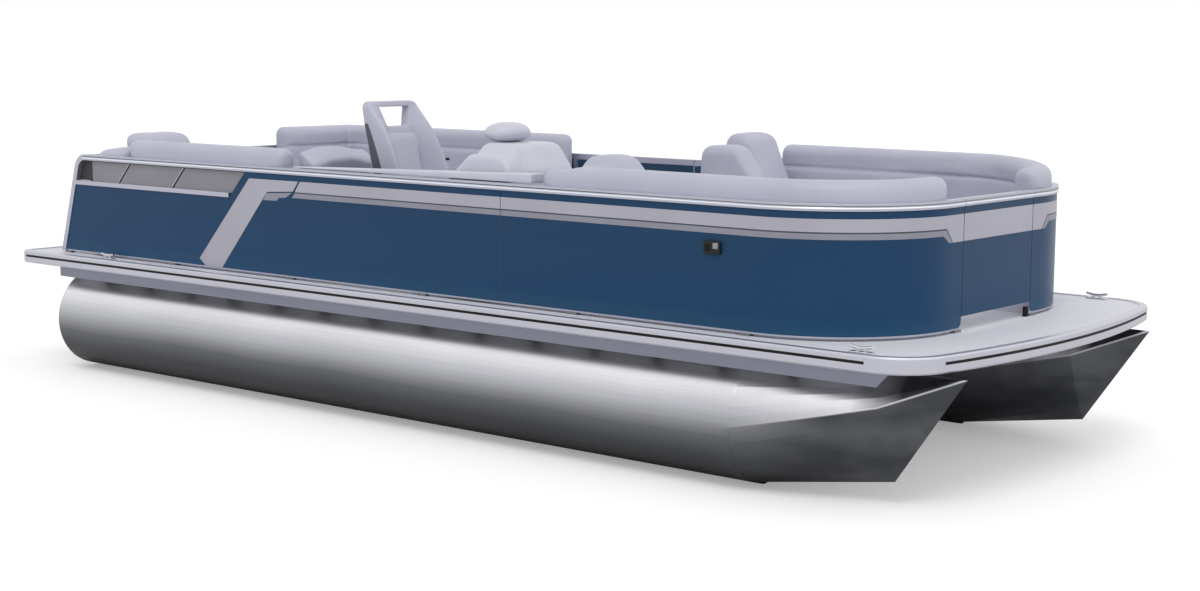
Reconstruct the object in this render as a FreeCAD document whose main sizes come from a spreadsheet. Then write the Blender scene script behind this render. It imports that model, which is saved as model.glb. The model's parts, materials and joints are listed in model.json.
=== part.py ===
# Pontoon boat: two aluminium tubes, a railed deck, gates, lounges and a helm.
# Lengths are millimetres. X runs forward from the deck's stern edge, Y to port and Z up from
# the floor. Every sub-part is then moved by one placement, so that the origin of the whole
# boat lies under its middle.

import FreeCAD, Part
import math
import os
import re
import Sketcher
from FreeCAD import Placement, Rotation, Vector

os.makedirs("parts", exist_ok=True)

SIZES = [
    # Deck and hull
    ("beam", 2590),
    ("deck_length", 6853),
    ("bow_arc_radius", 5017),
    ("bow_corner_radius", 290),
    ("stern_corner_radius", 70),
    ("deck_thick", 19),
    ("transom_overhang", 180),
    # Rub rail round the deck
    ("rub_depth", 30),
    ("rub_lip", 5),
    ("rub_lap", 12),
    ("rub_height", 80),
    ("rub_bevel", 8),
    ("groove_drop", 22),
    ("groove_height", 14),
    ("groove_depth", 6),
    # Side skirts
    ("skirt_start", 400),
    ("skirt_front", 350),
    ("skirt_slant", 60),
    ("skirt_drop", 138),
    ("skirt_thick", 3),
    # Pontoon tubes
    ("tube_dia", 635),
    ("tube_inset", 318),
    ("tube_start", 388),
    ("tube_end_bevel", 20),
    ("nose_length", 1081),
    ("stem_back", 357),
    ("tip_back", 52),
    ("crease_rise", 163),
    ("keel_rise", 110),
    ("tip_drop", 8),
    ("keel_strip", 8),
    ("keel_width", 30),
    ("keel_root", 5),
    # Deck structure
    ("riser_height", 26),
    ("riser_offset", 60),
    ("riser_flange", 40),
    ("riser_thick", 5),
    ("seat_gap", 0.3),
    ("cross_height", 57),
    ("cross_width", 38),
    ("cross_thick", 5),
    ("cross_count", 16),
    ("cross_first", 210),
    ("cross_last", 553),
    # Transom pod
    ("pod_width", 620),
    ("pod_length", 1100),
    ("pod_depth", 420),
    ("pod_front_slope", 300),
    ("pod_plate", 8),
    ("transom_thick", 45),
    ("transom_rise", 20),
    ("transom_rake", 13),
    ("bolt_radius", 6.5),
    ("upper_bolts_apart", 327),
    ("lower_bolts_apart", 251),
    ("bolt_rows_apart", 203),
    ("bolt_row_drop", 50),
    ("overrun", 20),
    # Fence
    ("fence_inset", 140),
    ("wall", 36),
    ("panel_inset", 6),
    ("panel_thick", 26),
    ("panel_skin", 3),
    ("panel_round", 34),
    ("foot_height", 12),
    ("foot_length", 60),
    ("foot_width", 30),
    ("bottom_rail", 30),
    ("bottom_reveal", 10),
    ("top_rail", 37),
    ("fence_height", 646),
    ("fence_aft", 268),
    ("fence_rake", 16.6),
    ("fence_bend", 110),
    ("seam_back", 2285),
    ("seam_gap", 3),
    ("bow_deck", 427),
    ("bow_bend", 690),
    # Recess at the aft end of the side fence
    ("recess_floor", 476),
    ("recess_start", 600),
    ("recess_back", 796),
    ("recess_lean", 43),
    ("recess_rail", 27),
    ("recess_depth", 18),
    ("recess_plate", 6),
    ("recess_gap", 16),
    # Gates
    ("gate_shoulder", 107),
    ("gate_clear", 4),
    ("gate_lift", 75),
    ("gate_stile", 14),
    ("side_gate_lead", 800),
    ("side_gate_width", 960),
    ("stern_wing", 825),
    ("stern_wall", 545),
    ("knuckle_radius", 8),
    ("knuckle_height", 36),
    ("knuckle_gap", 0.5),
    ("hinge_inset", 110),
    ("bumper_radius", 13),
    ("bumper_height", 50),
    # Lounges
    ("lounge_gap", 0.3),
    ("base_depth", 440),
    ("base_height", 290),
    ("cushion_depth", 490),
    ("cushion_thick", 140),
    ("cushion_bevel", 24),
    ("cushion_gap", 6),
    ("back_thick", 140),
    ("back_top", 760),
    ("back_bevel", 36),
    ("lounge_end_gap", 36),
    ("lounge_run_port", 1916),
    ("lounge_run_starboard", 2041),
    ("corner_run", 866),
    ("chaise_step_starboard", 275),
    ("chaise_recline", 22),
    ("chaise_thick", 190),
    ("chaise_top_port", 850),
    ("chaise_top_starboard", 785),
    ("stern_lounge_start", 590),
    ("helm_leg_room", 730),
    ("side_gate_room", 10),
    ("port_back_top", 785),
    ("stern_chaise_top", 795),
    ("stern_chaise_foot", 1120),
    ("stern_end_gap", 14),
    # Helm stand, seen from the side as a foot, a raked face, a brow and a dash
    ("console_lead", 245),
    ("console_length", 540),
    ("pod_breadth", 418),
    ("console_height", 830),
    ("face_lean", 70),
    ("brow_height", 690),
    ("brow_run", 110),
    ("dash_height", 640),
    ("dash_run", 150),
    ("console_round", 30),
    ("arm_width", 130),
    ("arm_height", 780),
    ("hood_width", 260),
    ("hood_length", 120),
    ("hood_height", 112),
    ("hood_round", 70),
    ("hood_back", 142),
    ("shelf_gap", 60),
    ("shelf_width", 110),
    ("shelf_top", 690),
    ("shelf_thick", 40),
    # Steering wheel
    ("wheel_radius", 160),
    ("wheel_grip", 14),
    ("wheel_tilt", 38),
    ("wheel_height", 655),
    ("wheel_reach", 70),
    ("hub_radius", 38),
    ("hub_depth", 30),
    ("spoke_width", 26),
    ("spoke_thick", 6),
    ("column_radius", 26),
    ("column_length", 150),
    # Helm chair
    ("chair_reach", 490),
    ("chair_inset", 565),
    ("chair_width", 460),
    ("chair_depth", 500),
    ("chair_seat_top", 490),
    ("chair_seat_thick", 140),
    ("chair_back_thick", 70),
    ("chair_back_top", 1030),
    ("chair_back_lean", 15),
    ("chair_top_width", 405),
    ("head_bar", 36),
    ("head_hole_height", 110),
    ("head_hole_width", 262),
    ("head_hole_foot", 182),
    ("wing_thick", 20),
    ("wing_reach", 230),
    ("wing_knee_rise", 340),
    ("wing_knee_back", 147),
    ("wing_round", 150),
    ("pedestal_radius", 45),
    ("pedestal_foot_radius", 150),
    ("pedestal_foot_height", 30),
    ("swivel_gap", 0.3),
    # Small fittings
    ("cleat_length", 150),
    ("cleat_height", 45),
    ("cleat_width", 28),
    ("cleat_inset", 70),
    ("cleat_aft", 770),
    ("cleat_back", 528),
    ("lamp_back", 904),
    ("lamp_height", 408),
    ("lamp_length", 112),
    ("lamp_tall", 70),
    ("lamp_proud", 22),
]

# Places that the sizes give, from the bow aft and from the beam inwards
PLACES = {
    "fence_half": "beam / 2 - fence_inset",
    "tube_side": "beam / 2 - tube_inset",
    "nose_tip": "deck_length - tip_back",
    "nose_start": "nose_tip - nose_length",
    "stem_foot": "nose_tip - stem_back",
    "skirt_end": "deck_length - skirt_front",
    "bow_fence": "deck_length - bow_deck",
    "panel_seam": "bow_fence - seam_back",
    "gate_half": "fence_half - bow_bend - gate_shoulder",
    "stern_gate_half": "fence_half - stern_wing",
    "bow_lounge_end": "gate_half + wall + lounge_end_gap",
    "bow_lounge_start_port": "bow_fence - lounge_run_port",
    "bow_lounge_start_starboard": "bow_fence - lounge_run_starboard",
    "corner_start": "bow_fence - corner_run",
    "chaise_foot_port": "bow_lounge_start_port + chaise_thick",
    "chaise_foot_starboard": "bow_lounge_start_starboard + chaise_thick + chaise_step_starboard",
    "console_aft": "bow_lounge_start_starboard - console_lead - console_length",
    "chair_x": "console_aft - chair_reach",
    "chair_y": "fence_half - chair_inset",
    "starboard_lounge_end": "chair_x - helm_leg_room",
    "shelf_start": "starboard_lounge_end + shelf_gap",
    "shelf_end": "bow_lounge_start_starboard - shelf_gap",
    "side_gate_aft": "bow_lounge_start_port - side_gate_lead - side_gate_width",
    "port_lounge_end": "side_gate_aft - side_gate_room",
    "port_stern_inner": "stern_gate_half + wall + stern_end_gap",
    "recess_end": "side_gate_aft - recess_back",
    "back_foot": "base_height + seat_gap",
    "cleat_bow": "deck_length - cleat_back",
    "lamp_station": "bow_fence - lamp_back",
}

SIZE_NAMES = re.compile(r"\b(" + "|".join(name for name, value in SIZES) + r")\b")
PLACE_NAMES = re.compile(r"\b(" + "|".join(PLACES) + r")\b")

doc = FreeCAD.newDocument("pontoon_boat")
sheet = doc.addObject("Spreadsheet::Sheet", "sizes")
for row, (name, value) in enumerate(SIZES, 1):
    sheet.set("A%d" % row, name)
    sheet.set("B%d" % row, str(value))
    sheet.setAlias("B%d" % row, name)
doc.recompute()

# Heights that the stacked hull gives
TUBE_AXIS = "(keel_strip + tube_dia / 2)"
CROSS_FLOOR = "(keel_strip + tube_dia + riser_height)"
DECK_FLOOR = "(keel_strip + tube_dia + riser_height + cross_height)"
DECK = "(keel_strip + tube_dia + riser_height + cross_height + deck_thick)"
FENCE_FLOOR = "(" + DECK + " + foot_height)"
FENCE_TOP = "(" + DECK + " + fence_height)"
SKIN_FOOT = "(" + FENCE_FLOOR + " + bottom_reveal)"

# Depths inside the fence's outer face: a panel's skin laps over the frame behind it
SKIN_NEAR, FRAME_NEAR = "panel_inset", "(panel_inset + panel_skin)"
CORE_THICK = "(panel_thick - panel_skin)"
MIDSHIP = "-(sizes.deck_length - sizes.transom_overhang) / 2"
PORT, STARBOARD = 1, -1
SIDES = ((PORT, "port"), (STARBOARD, "starboard"))

# Counts of repeated pieces and stations
NOSE_STEPS = 4
CROWN_SIDES = 20
VEE_SIDES = 6
RIM_SIDES = 6
SPOKES = 3
RECESS_PLATES = 3
RECESS_PITCH_SHARE = 0.396
SIDE_FEET = 6
GATE_SIDE_FEET = 3

# Places closer than this count as one
NEAR = 0.01

subparts = []


def spelled(expression):
    """An expression with the names of places written out in sizes."""
    text = str(expression)
    while PLACE_NAMES.search(text):
        text = PLACE_NAMES.sub(lambda found: "(" + PLACES[found.group()] + ")", text)
    return text


def number(expression):
    """The value of an expression in sizes and places."""
    value = sheet.evalExpression(spelled(expression))
    return float(getattr(value, "Value", value))


def bound(expression):
    """The same expression as other objects write it."""
    return SIZE_NAMES.sub(r"sizes.\1", spelled(expression))


def times(side, expression):
    return "%d * (%s)" % (side, expression)


def keep(piece, label):
    """Labels a finished sub-part and gives it the boat's placement."""
    piece.Label = label
    piece.setExpression("Placement.Base.x", MIDSHIP)
    subparts.append(piece)
    return piece


def new_body(label):
    body = doc.addObject("PartDesign::Body", label)
    body.AllowCompound = True
    return keep(body, label)


def new_shape(label, shape):
    piece = doc.addObject("Part::Feature", label)
    piece.Shape = shape
    return keep(piece, label)


def new_sketch(body, plane, offset=("0", "0", "0"), turn=None):
    """A sketch on one of the body's own planes, moved by offset in the plane's own axes."""
    sketch = body.newObject("Sketcher::SketchObject", body.Name + "_sketch")
    support = [item for item in body.Origin.OriginFeatures if item.Role == plane][0]
    sketch.AttachmentSupport = (support, [""])
    sketch.MapMode = "FlatFace"
    if turn:
        axis, angle = turn
        sketch.AttachmentOffset = Placement(Vector(), Rotation(axis, number(angle)))
        sketch.setExpression("AttachmentOffset.Rotation.Angle", bound(angle))
    for letter, expression in zip("xyz", offset):
        if expression != "0":
            sketch.setExpression("AttachmentOffset.Base." + letter, bound(expression))
    return sketch


def pin_point(sketch, edge, end, across, along):
    """Ties one point of an edge to expressions in the sheet's names."""
    for kind, expression in (("DistanceX", across), ("DistanceY", along)):
        if expression is None:
            continue
        value = number(expression)
        index = sketch.addConstraint(Sketcher.Constraint(kind, -1, 1, edge, end, value))
        sketch.setExpression("Constraints[%d]" % index, bound(expression))


def outline(sketch, corners):
    """A closed outline. A corner is (x, y) before a straight edge, or (x, y, centre x,
    centre y, turn) before an arc, where turn is 1 anticlockwise and -1 clockwise."""
    points = [Vector(number(corner[0]), number(corner[1]), 0) for corner in corners]
    first = sketch.GeometryCount
    ends = []
    for index, corner in enumerate(corners):
        start, stop = points[index], points[(index + 1) % len(points)]
        if len(corner) == 2:
            sketch.addGeometry(Part.LineSegment(start, stop))
            ends.append((1, 2))
            continue
        centre = Vector(number(corner[2]), number(corner[3]), 0)
        if corner[4] < 0:
            start, stop = stop, start
        circle = Part.Circle(centre, Vector(0, 0, 1), (start - centre).Length)
        angles = [math.atan2(p.y - centre.y, p.x - centre.x) for p in (start, stop)]
        sketch.addGeometry(Part.ArcOfCircle(circle, angles[0], angles[1]))
        ends.append((1, 2) if corner[4] > 0 else (2, 1))
    for index, corner in enumerate(corners):
        after = (index + 1) % len(corners)
        sketch.addConstraint(Sketcher.Constraint(
            "Coincident", first + index, ends[index][1], first + after, ends[after][0]))
        pin_point(sketch, first + index, ends[index][0], corner[0], corner[1])
        if len(corner) > 2:
            run = points[after] - points[index]
            steep = abs(run.y) >= abs(run.x)
            pin_point(sketch, first + index, 3, corner[2] if steep else None,
                      None if steep else corner[3])
    return sketch


def circle(sketch, across, along, radius):
    edge = sketch.addGeometry(Part.Circle(
        Vector(number(across), number(along), 0), Vector(0, 0, 1), number(radius)))
    pin_point(sketch, edge, 3, across, along)
    index = sketch.addConstraint(Sketcher.Constraint("Radius", edge, number(radius)))
    sketch.setExpression("Constraints[%d]" % index, bound(radius))


def rectangle(low_x, low_y, high_x, high_y):
    return [(low_x, low_y), (high_x, low_y), (high_x, high_y), (low_x, high_y)]


def pad(body, sketch, length, middle=False, back=False):
    feature = body.newObject("PartDesign::Pad", body.Name + "_pad")
    feature.Profile = sketch
    feature.setExpression("Length", bound(length))
    feature.Midplane = middle
    feature.Reversed = back
    return feature


def pocket(body, sketch, length, middle=False, back=False):
    feature = body.newObject("PartDesign::Pocket", body.Name + "_pocket")
    feature.Profile = sketch
    feature.setExpression("Length", bound(length))
    feature.Midplane = middle
    feature.Reversed = back
    return feature


def ring(body, sketch, span):
    """Turns a profile about its sketch's upright axis, to both sides of its plane."""
    feature = body.newObject("PartDesign::Revolution", body.Name + "_ring")
    feature.Profile = sketch
    feature.ReferenceAxis = (sketch, ["V_Axis"])
    feature.Midplane = True
    feature.setExpression("Angle", bound(span))
    return feature


def slab(body, corners, floor, height):
    """A plan outline raised from a floor height."""
    return pad(body, outline(new_sketch(body, "XY_Plane", ("0", "0", floor)), corners), height)


def side_slab(body, corners, outer, thick, side):
    """A side outline in X and Z, from the distance outer off the centreline inwards."""
    plane_y = times(-side, outer)
    sketch = outline(new_sketch(body, "XZ_Plane", ("0", "0", plane_y)), corners)
    return pad(body, sketch, thick, back=side < 0)


def edge_names(feature, wanted):
    """Names of those edges of a feature that wanted() picks."""
    doc.recompute()
    return ["Edge%d" % (i + 1) for i, edge in enumerate(feature.Shape.Edges) if wanted(edge)]


def round_edges(body, feature, radius, wanted):
    fillet = body.newObject("PartDesign::Fillet", body.Name + "_round")
    fillet.Base = (feature, edge_names(feature, wanted))
    fillet.setExpression("Radius", bound(radius))
    return fillet


def bevel_edges(body, feature, size, wanted):
    chamfer = body.newObject("PartDesign::Chamfer", body.Name + "_bevel")
    chamfer.Base = (feature, edge_names(feature, wanted))
    chamfer.setExpression("Size", bound(size))
    return chamfer


def above(height):
    """Picks level edges at one height, and upright ones that end there."""
    level = number(height)
    return lambda edge: abs(edge.BoundBox.ZMax - level) < NEAR


def pontoon(side, word):
    """A tube whose nose is folded to a sharp stem: round above a crease, a vee below it."""
    radius = number("tube_dia / 2")
    start, foot, tip = number("nose_start"), number("stem_foot"), number("nose_tip")
    tip_height = radius - number("tip_drop")
    quarter_bulge_share = (math.sqrt(2) - 1) / 2
    foot_bulge_share = 0.04

    def bent(first, middle, last, sides):
        """Corners of a plate bent along an arc, without the last one."""
        return Part.Arc(first, middle, last).toShape().discretize(sides + 1)[:-1]

    def section(along):
        """The hull's section at a share of the way from the nose's start to the stem's foot."""
        x = start + along * (foot - start)
        reach = (x - start) / (tip - start)
        half = radius * (1 - reach ** 2)
        crease = along * number("crease_rise")
        keel = -radius + along * number("keel_rise")
        top = radius + (tip_height - radius) * reach
        bulge = quarter_bulge_share + along * (foot_bulge_share - quarter_bulge_share)
        crown, bottom = Vector(x, 0, top), Vector(x, 0, keel)
        left, right = Vector(x, half, crease), Vector(x, -half, crease)
        corners = bent(left, crown, right, CROWN_SIDES)
        for a, b in ((right, bottom), (bottom, left)):
            chord = b - a
            middle = (a + b) / 2 + Vector(0, chord.z, -chord.y) * bulge
            corners += bent(a, middle, b, VEE_SIDES)
        return Part.makePolygon(corners + corners[:1])

    tube = Part.makeCylinder(radius, start - number("tube_start"),
                             Vector(number("tube_start"), 0, 0), Vector(1, 0, 0))
    rim = [edge for edge in tube.Edges if abs(edge.BoundBox.XMax - number("tube_start")) < NEAR]
    tube = tube.makeChamfer(number("tube_end_bevel"), rim)
    sections = [section(step / NOSE_STEPS) for step in range(NOSE_STEPS + 1)]
    nose = Part.makeLoft(sections, True, True)
    point = Part.Vertex(Vector(tip, 0, tip_height))
    prow = Part.makeLoft([sections[-1], point], True, True)
    width = number("keel_width")
    depth = number("keel_strip + keel_root")
    strip_start = number("tube_start + tube_end_bevel")
    strip = Part.makeBox(start - strip_start, width, depth,
                         Vector(strip_start, -width / 2, -radius - number("keel_strip")))
    hull = tube.fuse([nose, prow, strip])
    hull.translate(Vector(0, side * number("tube_side"), number(TUBE_AXIS)))
    return new_shape("pontoon_" + word, hull)


def deck_risers():
    """Angle bars that carry the deck's cross-members, two on top of each tube."""
    body = new_body("deck_risers")
    foot = ("keel_strip + tube_dia / 2 + seat_gap"
            " + sqrt((tube_dia / 2)^2 - (riser_offset - riser_thick)^2)")
    for side, word in SIDES:
        for hand in (-1, 1):
            middle = times(side, "tube_side")

            def across(offset):
                return "%s + %d * (%s)" % (middle, hand, offset)

            corners = [
                (across("riser_offset - riser_thick"), foot),
                (across("riser_offset"), foot),
                (across("riser_offset"), CROSS_FLOOR + " - riser_thick"),
                (across("riser_offset + riser_flange"), CROSS_FLOOR + " - riser_thick"),
                (across("riser_offset + riser_flange"), CROSS_FLOOR),
                (across("riser_offset - riser_thick"), CROSS_FLOOR),
            ]
            sketch = outline(new_sketch(body, "YZ_Plane", ("0", "0", "cross_first")), corners)
            pad(body, sketch, "nose_start - cross_first")


def cross_members():
    """Channel beams under the deck boards."""
    body = new_body("cross_members")
    rear, front, web = "cross_first", "cross_first + cross_width", "cross_first + cross_thick"
    low, high = CROSS_FLOOR + " + cross_thick", DECK_FLOOR + " - cross_thick"
    corners = [
        (rear, CROSS_FLOOR), (front, CROSS_FLOOR), (front, low), (web, low),
        (web, high), (front, high), (front, DECK_FLOOR), (rear, DECK_FLOOR)]
    beam = pad(body, outline(new_sketch(body, "XZ_Plane"), corners),
               "beam - 2 * (rub_depth + skirt_thick)", middle=True)
    doc.recompute()
    row = body.newObject("PartDesign::LinearPattern", "cross_row")
    row.Originals = [beam]
    row.Direction = ([f for f in body.Origin.OriginFeatures if f.Role == "X_Axis"][0], [""])
    row.setExpression("Length", bound("deck_length - cross_first - cross_last"))
    row.setExpression("Occurrences", bound("cross_count"))
    body.Tip = row


def transom_x(drop):
    """Where the transom's aft face lies at a height, given as a drop below its top edge."""
    return "-transom_overhang + (%s) * tan(transom_rake)" % drop


def transom_pod():
    """A welded box between the tubes, with the raked plate that carries the outboard."""
    body = new_body("transom_pod")
    top = DECK + " + transom_rise"
    floor = "(%s + transom_rise - pod_depth)" % DECK
    plate = "transom_thick / cos(transom_rake)"
    shell_top = CROSS_FLOOR
    well_drop = "(%s + transom_rise - %s)" % (DECK, CROSS_FLOOR)
    corners = [
        (transom_x("pod_depth"), floor),
        ("pod_length - pod_front_slope", floor),
        ("pod_length", shell_top),
        (transom_x(well_drop) + " + " + plate, shell_top),
        (transom_x("0") + " + " + plate, top),
        (transom_x("0"), top),
    ]
    pad(body, outline(new_sketch(body, "XZ_Plane"), corners), "pod_width", middle=True)
    well = [
        (transom_x("pod_depth - pod_plate") + " + " + plate, floor + " + pod_plate"),
        ("0", floor + " + pod_plate"),
        ("0", shell_top + " + overrun"),
        (transom_x(well_drop + " - overrun") + " + " + plate, shell_top + " + overrun"),
    ]
    pocket(body, outline(new_sketch(body, "XZ_Plane"), well), "pod_width - 2 * pod_plate",
           middle=True)
    face = new_sketch(body, "YZ_Plane", ("0", top, "-transom_overhang"),
                      (Vector(1, 0, 0), "-transom_rake"))
    for apart, drop in (("upper_bolts_apart", "bolt_row_drop"),
                        ("lower_bolts_apart", "bolt_row_drop + bolt_rows_apart")):
        for hand in (-1, 1):
            circle(face, "%d * %s / 2" % (hand, apart), "-(%s)" % drop, "bolt_radius")
    pocket(body, face, "transom_thick + overrun", back=True)


def bow_centre():
    """Centres of the bow's long arc and of the arc at its corner."""
    arc_x = "(deck_length - bow_arc_radius)"
    corner_y = "(beam / 2 - bow_corner_radius)"
    corner_x = "(%s + sqrt((bow_arc_radius - bow_corner_radius)^2 - %s^2))" % (arc_x, corner_y)
    return arc_x, corner_x, corner_y


def bow_tangent(inset):
    """Where the corner arc meets the long arc, on outlines that lie inset inside the edge."""
    arc_x, corner_x, corner_y = bow_centre()
    reach = "((bow_arc_radius - (%s)) / (bow_arc_radius - bow_corner_radius))" % inset
    return ("%s + %s * (%s - %s)" % (arc_x, reach, corner_x, arc_x), "%s * %s" % (reach, corner_y))


def deck_outline(inset):
    """The deck's plan outline, a distance inside the edge of its rub rail."""
    arc_x, corner_x, corner_y = bow_centre()
    tangent_x, tangent_y = bow_tangent(inset)
    edge = "(beam / 2 - (%s))" % inset
    stern_y = "(beam / 2 - stern_corner_radius)"
    return [
        ("stern_corner_radius", "-" + edge),
        (corner_x, "-" + edge, corner_x, "-" + corner_y, 1),
        (tangent_x, "-" + tangent_y, arc_x, "0", 1),
        (tangent_x, tangent_y, corner_x, corner_y, 1),
        (corner_x, edge),
        ("stern_corner_radius", edge, "stern_corner_radius", stern_y, 1),
        (inset, stern_y),
        (inset, "-" + stern_y, "stern_corner_radius", "-" + stern_y, 1),
    ]


def deck():
    body = new_body("deck")
    slab(body, deck_outline("rub_depth"), DECK_FLOOR, "deck_thick")


def rub_profile(face, grooved=True):
    """The rub rail's section. face(depth) gives a place that lies depth inside its outer face."""
    top = DECK + " + rub_lip"
    foot = DECK + " + rub_lip - rub_height"
    shoulder = DECK + " - groove_drop"
    corners = [
        (face("rub_depth"), foot), (face("rub_bevel"), foot), (face("0"), foot + " + rub_bevel")]
    if grooved:
        corners += [
            (face("0"), shoulder + " - groove_height"),
            (face("groove_depth"), shoulder + " - groove_height"),
            (face("groove_depth"), shoulder), (face("0"), shoulder)]
    corners += [
        (face("0"), top + " - rub_bevel"), (face("rub_bevel"), top),
        (face("rub_depth + rub_lap"), top), (face("rub_depth + rub_lap"), DECK),
        (face("rub_depth"), DECK)]
    return corners


def insert_profile(face):
    """The dark strip that fills the rub rail's groove."""
    shoulder = DECK + " - groove_drop"
    return [
        (face("groove_depth"), shoulder + " - groove_height"),
        (face("seat_gap"), shoulder + " - groove_height"),
        (face("seat_gap"), shoulder),
        (face("groove_depth"), shoulder),
    ]


def straight_rail(body, side, profile):
    """Runs a rail's section along one side of the deck."""
    corner_x = bow_centre()[1]
    corners = profile(lambda depth: times(side, "beam / 2 - (%s)" % depth))
    sketch = outline(new_sketch(body, "YZ_Plane", ("0", "0", "stern_corner_radius")), corners)
    pad(body, sketch, corner_x + " - stern_corner_radius")


def stern_rail(body, profile):
    corners = profile(lambda depth: depth)
    pad(body, outline(new_sketch(body, "XZ_Plane"), corners),
        "beam - 2 * stern_corner_radius", middle=True)


def bow_angle():
    """The share of the long arc that one side takes, as an angle."""
    corner_y = bow_centre()[2]
    return "asin(%s / (bow_arc_radius - bow_corner_radius))" % corner_y


def bow_rail(body, profile):
    arc_x = bow_centre()[0]
    corners = profile(lambda depth: "bow_arc_radius - (%s)" % depth)
    sketch = outline(new_sketch(body, "XZ_Plane", (arc_x, "0", "0")), corners)
    ring(body, sketch, "2 * " + bow_angle())


def corner_rail(body, centre_x, centre_y, radius, middle, span, profile):
    """Turns a rail's section round one corner of the deck."""
    corners = profile(lambda depth: "%s - (%s)" % (radius, depth))
    sketch = new_sketch(body, "XZ_Plane", (centre_x, "0", "-(%s)" % centre_y),
                        (Vector(0, 1, 0), middle))
    ring(body, outline(sketch, corners), span)


def rub_rails():
    for side, word in SIDES:
        straight_rail(new_body("rub_rail_" + word), side, rub_profile)
    stern_rail(new_body("rub_rail_stern"), rub_profile)
    bow_rail(new_body("rub_rail_bow"), rub_profile)
    arc_x, corner_x, corner_y = bow_centre()
    caps = new_body("corner_caps")
    for side, word in SIDES:
        corner_rail(caps, corner_x, times(side, corner_y), "bow_corner_radius",
                    times(side, "(90 deg + %s) / 2" % bow_angle()), "90 deg - " + bow_angle(),
                    lambda face: rub_profile(face, False))
        corner_rail(caps, "stern_corner_radius", times(side, "beam / 2 - stern_corner_radius"),
                    "stern_corner_radius", times(side, "135 deg"), "90 deg",
                    lambda face: rub_profile(face, False))
    inserts = new_body("rub_rail_inserts")
    for side, word in SIDES:
        straight_rail(inserts, side, insert_profile)
    stern_rail(inserts, insert_profile)
    bow_rail(inserts, insert_profile)


def skirt(side, word):
    """The plate that hangs from the ends of the cross-members and hides them."""
    body = new_body("skirt_" + word)
    corner_x = bow_centre()[1]
    rail_foot = DECK + " + rub_lip - rub_height - seat_gap"
    corners = [
        ("skirt_start", DECK + " - skirt_drop"), ("skirt_end", DECK + " - skirt_drop"),
        ("skirt_end + skirt_slant", rail_foot), (corner_x, rail_foot),
        (corner_x, DECK_FLOOR), ("skirt_start", DECK_FLOOR)]
    side_slab(body, corners, "beam / 2 - rub_depth", "skirt_thick", side)


def band(side, start, stop, near, far):
    """A plan strip that follows the fence, from a station on the side to a distance off the
    centreline at the bow. near and far are its depths inside the fence's outer face."""
    bend_x = "(bow_fence - bow_bend)"
    bend_y = times(side, "fence_half - bow_bend")

    def wide(depth):
        return times(side, "fence_half - (%s)" % depth)

    def ahead(depth):
        return "bow_fence - (%s)" % depth

    end = times(side, stop)
    turn = -side
    return [
        (start, wide(near)), (bend_x, wide(near), bend_x, bend_y, turn),
        (ahead(near), bend_y), (ahead(near), end), (ahead(far), end),
        (ahead(far), bend_y, bend_x, bend_y, -turn), (bend_x, wide(far)), (start, wide(far)),
    ]


def strip(side, start, stop, near, far):
    """A straight plan strip along one side of the fence."""
    low, high = times(side, "fence_half - (%s)" % near), times(side, "fence_half - (%s)" % far)
    return [(start, low), (stop, low), (stop, high), (start, high)]


def rake_x(height):
    """The fence's raked aft edge, at a height above the fence's floor."""
    return "(fence_aft + (%s) * tan(fence_rake))" % height


def hoop(side, body):
    """The bent tube that closes the fence's aft end and runs on as its top rail."""
    rise = "(fence_height - foot_height)"
    bend_z = "(%s - fence_bend)" % FENCE_TOP
    bend_x = "(%s + fence_bend / cos(fence_rake))" % rake_x(rise + " - fence_bend")
    inner = "(fence_bend - wall)"
    across = " / cos(fence_rake)"
    corners = [
        (rake_x("0"), FENCE_FLOOR),
        (rake_x("0") + " + wall" + across, FENCE_FLOOR),
        (bend_x + " - %s * cos(fence_rake)" % inner, bend_z + " + %s * sin(fence_rake)" % inner,
         bend_x, bend_z, -1),
        (bend_x, FENCE_TOP + " - wall"),
        (bend_x, FENCE_TOP),
        (bend_x + " - fence_bend * cos(fence_rake)", bend_z + " + fence_bend * sin(fence_rake)"),
    ]
    turned = [corners[4] + (bend_x, bend_z, 1)]
    side_slab(body, corners[:4] + turned + corners[5:], "fence_half", "wall", side)
    return bend_x


def recess_rail(side, body):
    """The ledge under the recess in the side fence."""
    height = "(recess_floor - foot_height - recess_rail)"
    low = "(%s + recess_floor - recess_rail)" % DECK
    inner = rake_x(height) + " + wall / cos(fence_rake) - wall / 2"
    corners = rectangle(inner, low, "recess_end", low + " + recess_rail")
    side_slab(body, corners, "fence_half", "wall", side)


def leaning(station, height):
    """A station on a line that leans forward above the recess, at a height over its ledge."""
    return "(%s + (%s) * tan(recess_lean))" % (station, height)


def fence_frames():
    """Square-tube frames: bottom rail, top rail, bent aft end and gate posts."""
    low_band = (FENCE_FLOOR, "bottom_rail")
    high_band = (FENCE_TOP + " - top_rail", "top_rail")
    body = new_body("fence_frame_starboard")
    bend_x = hoop(STARBOARD, body)
    slab(body, band(STARBOARD, rake_x("0") + " + wall", "gate_half", FRAME_NEAR, "wall"), *low_band)
    slab(body, band(STARBOARD, bend_x, "gate_half", "0", "wall"), *high_band)
    gate_post(body, STARBOARD)
    recess_rail(STARBOARD, body)
    aft = new_body("fence_frame_port_aft")
    hoop(PORT, aft)
    slab(aft, strip(PORT, rake_x("0") + " + wall", "side_gate_aft", FRAME_NEAR, "wall"), *low_band)
    slab(aft, strip(PORT, bend_x, "side_gate_aft", "0", "wall"), *high_band)
    side_post(aft, "side_gate_aft - wall")
    recess_rail(PORT, aft)
    bow = new_body("fence_frame_port_bow")
    for near, (floor, height) in ((FRAME_NEAR, low_band), ("0", high_band)):
        slab(bow, band(PORT, "side_gate_aft + side_gate_width", "gate_half", near, "wall"),
             floor, height)
    side_post(bow, "side_gate_aft + side_gate_width")
    gate_post(bow, PORT)


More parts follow.
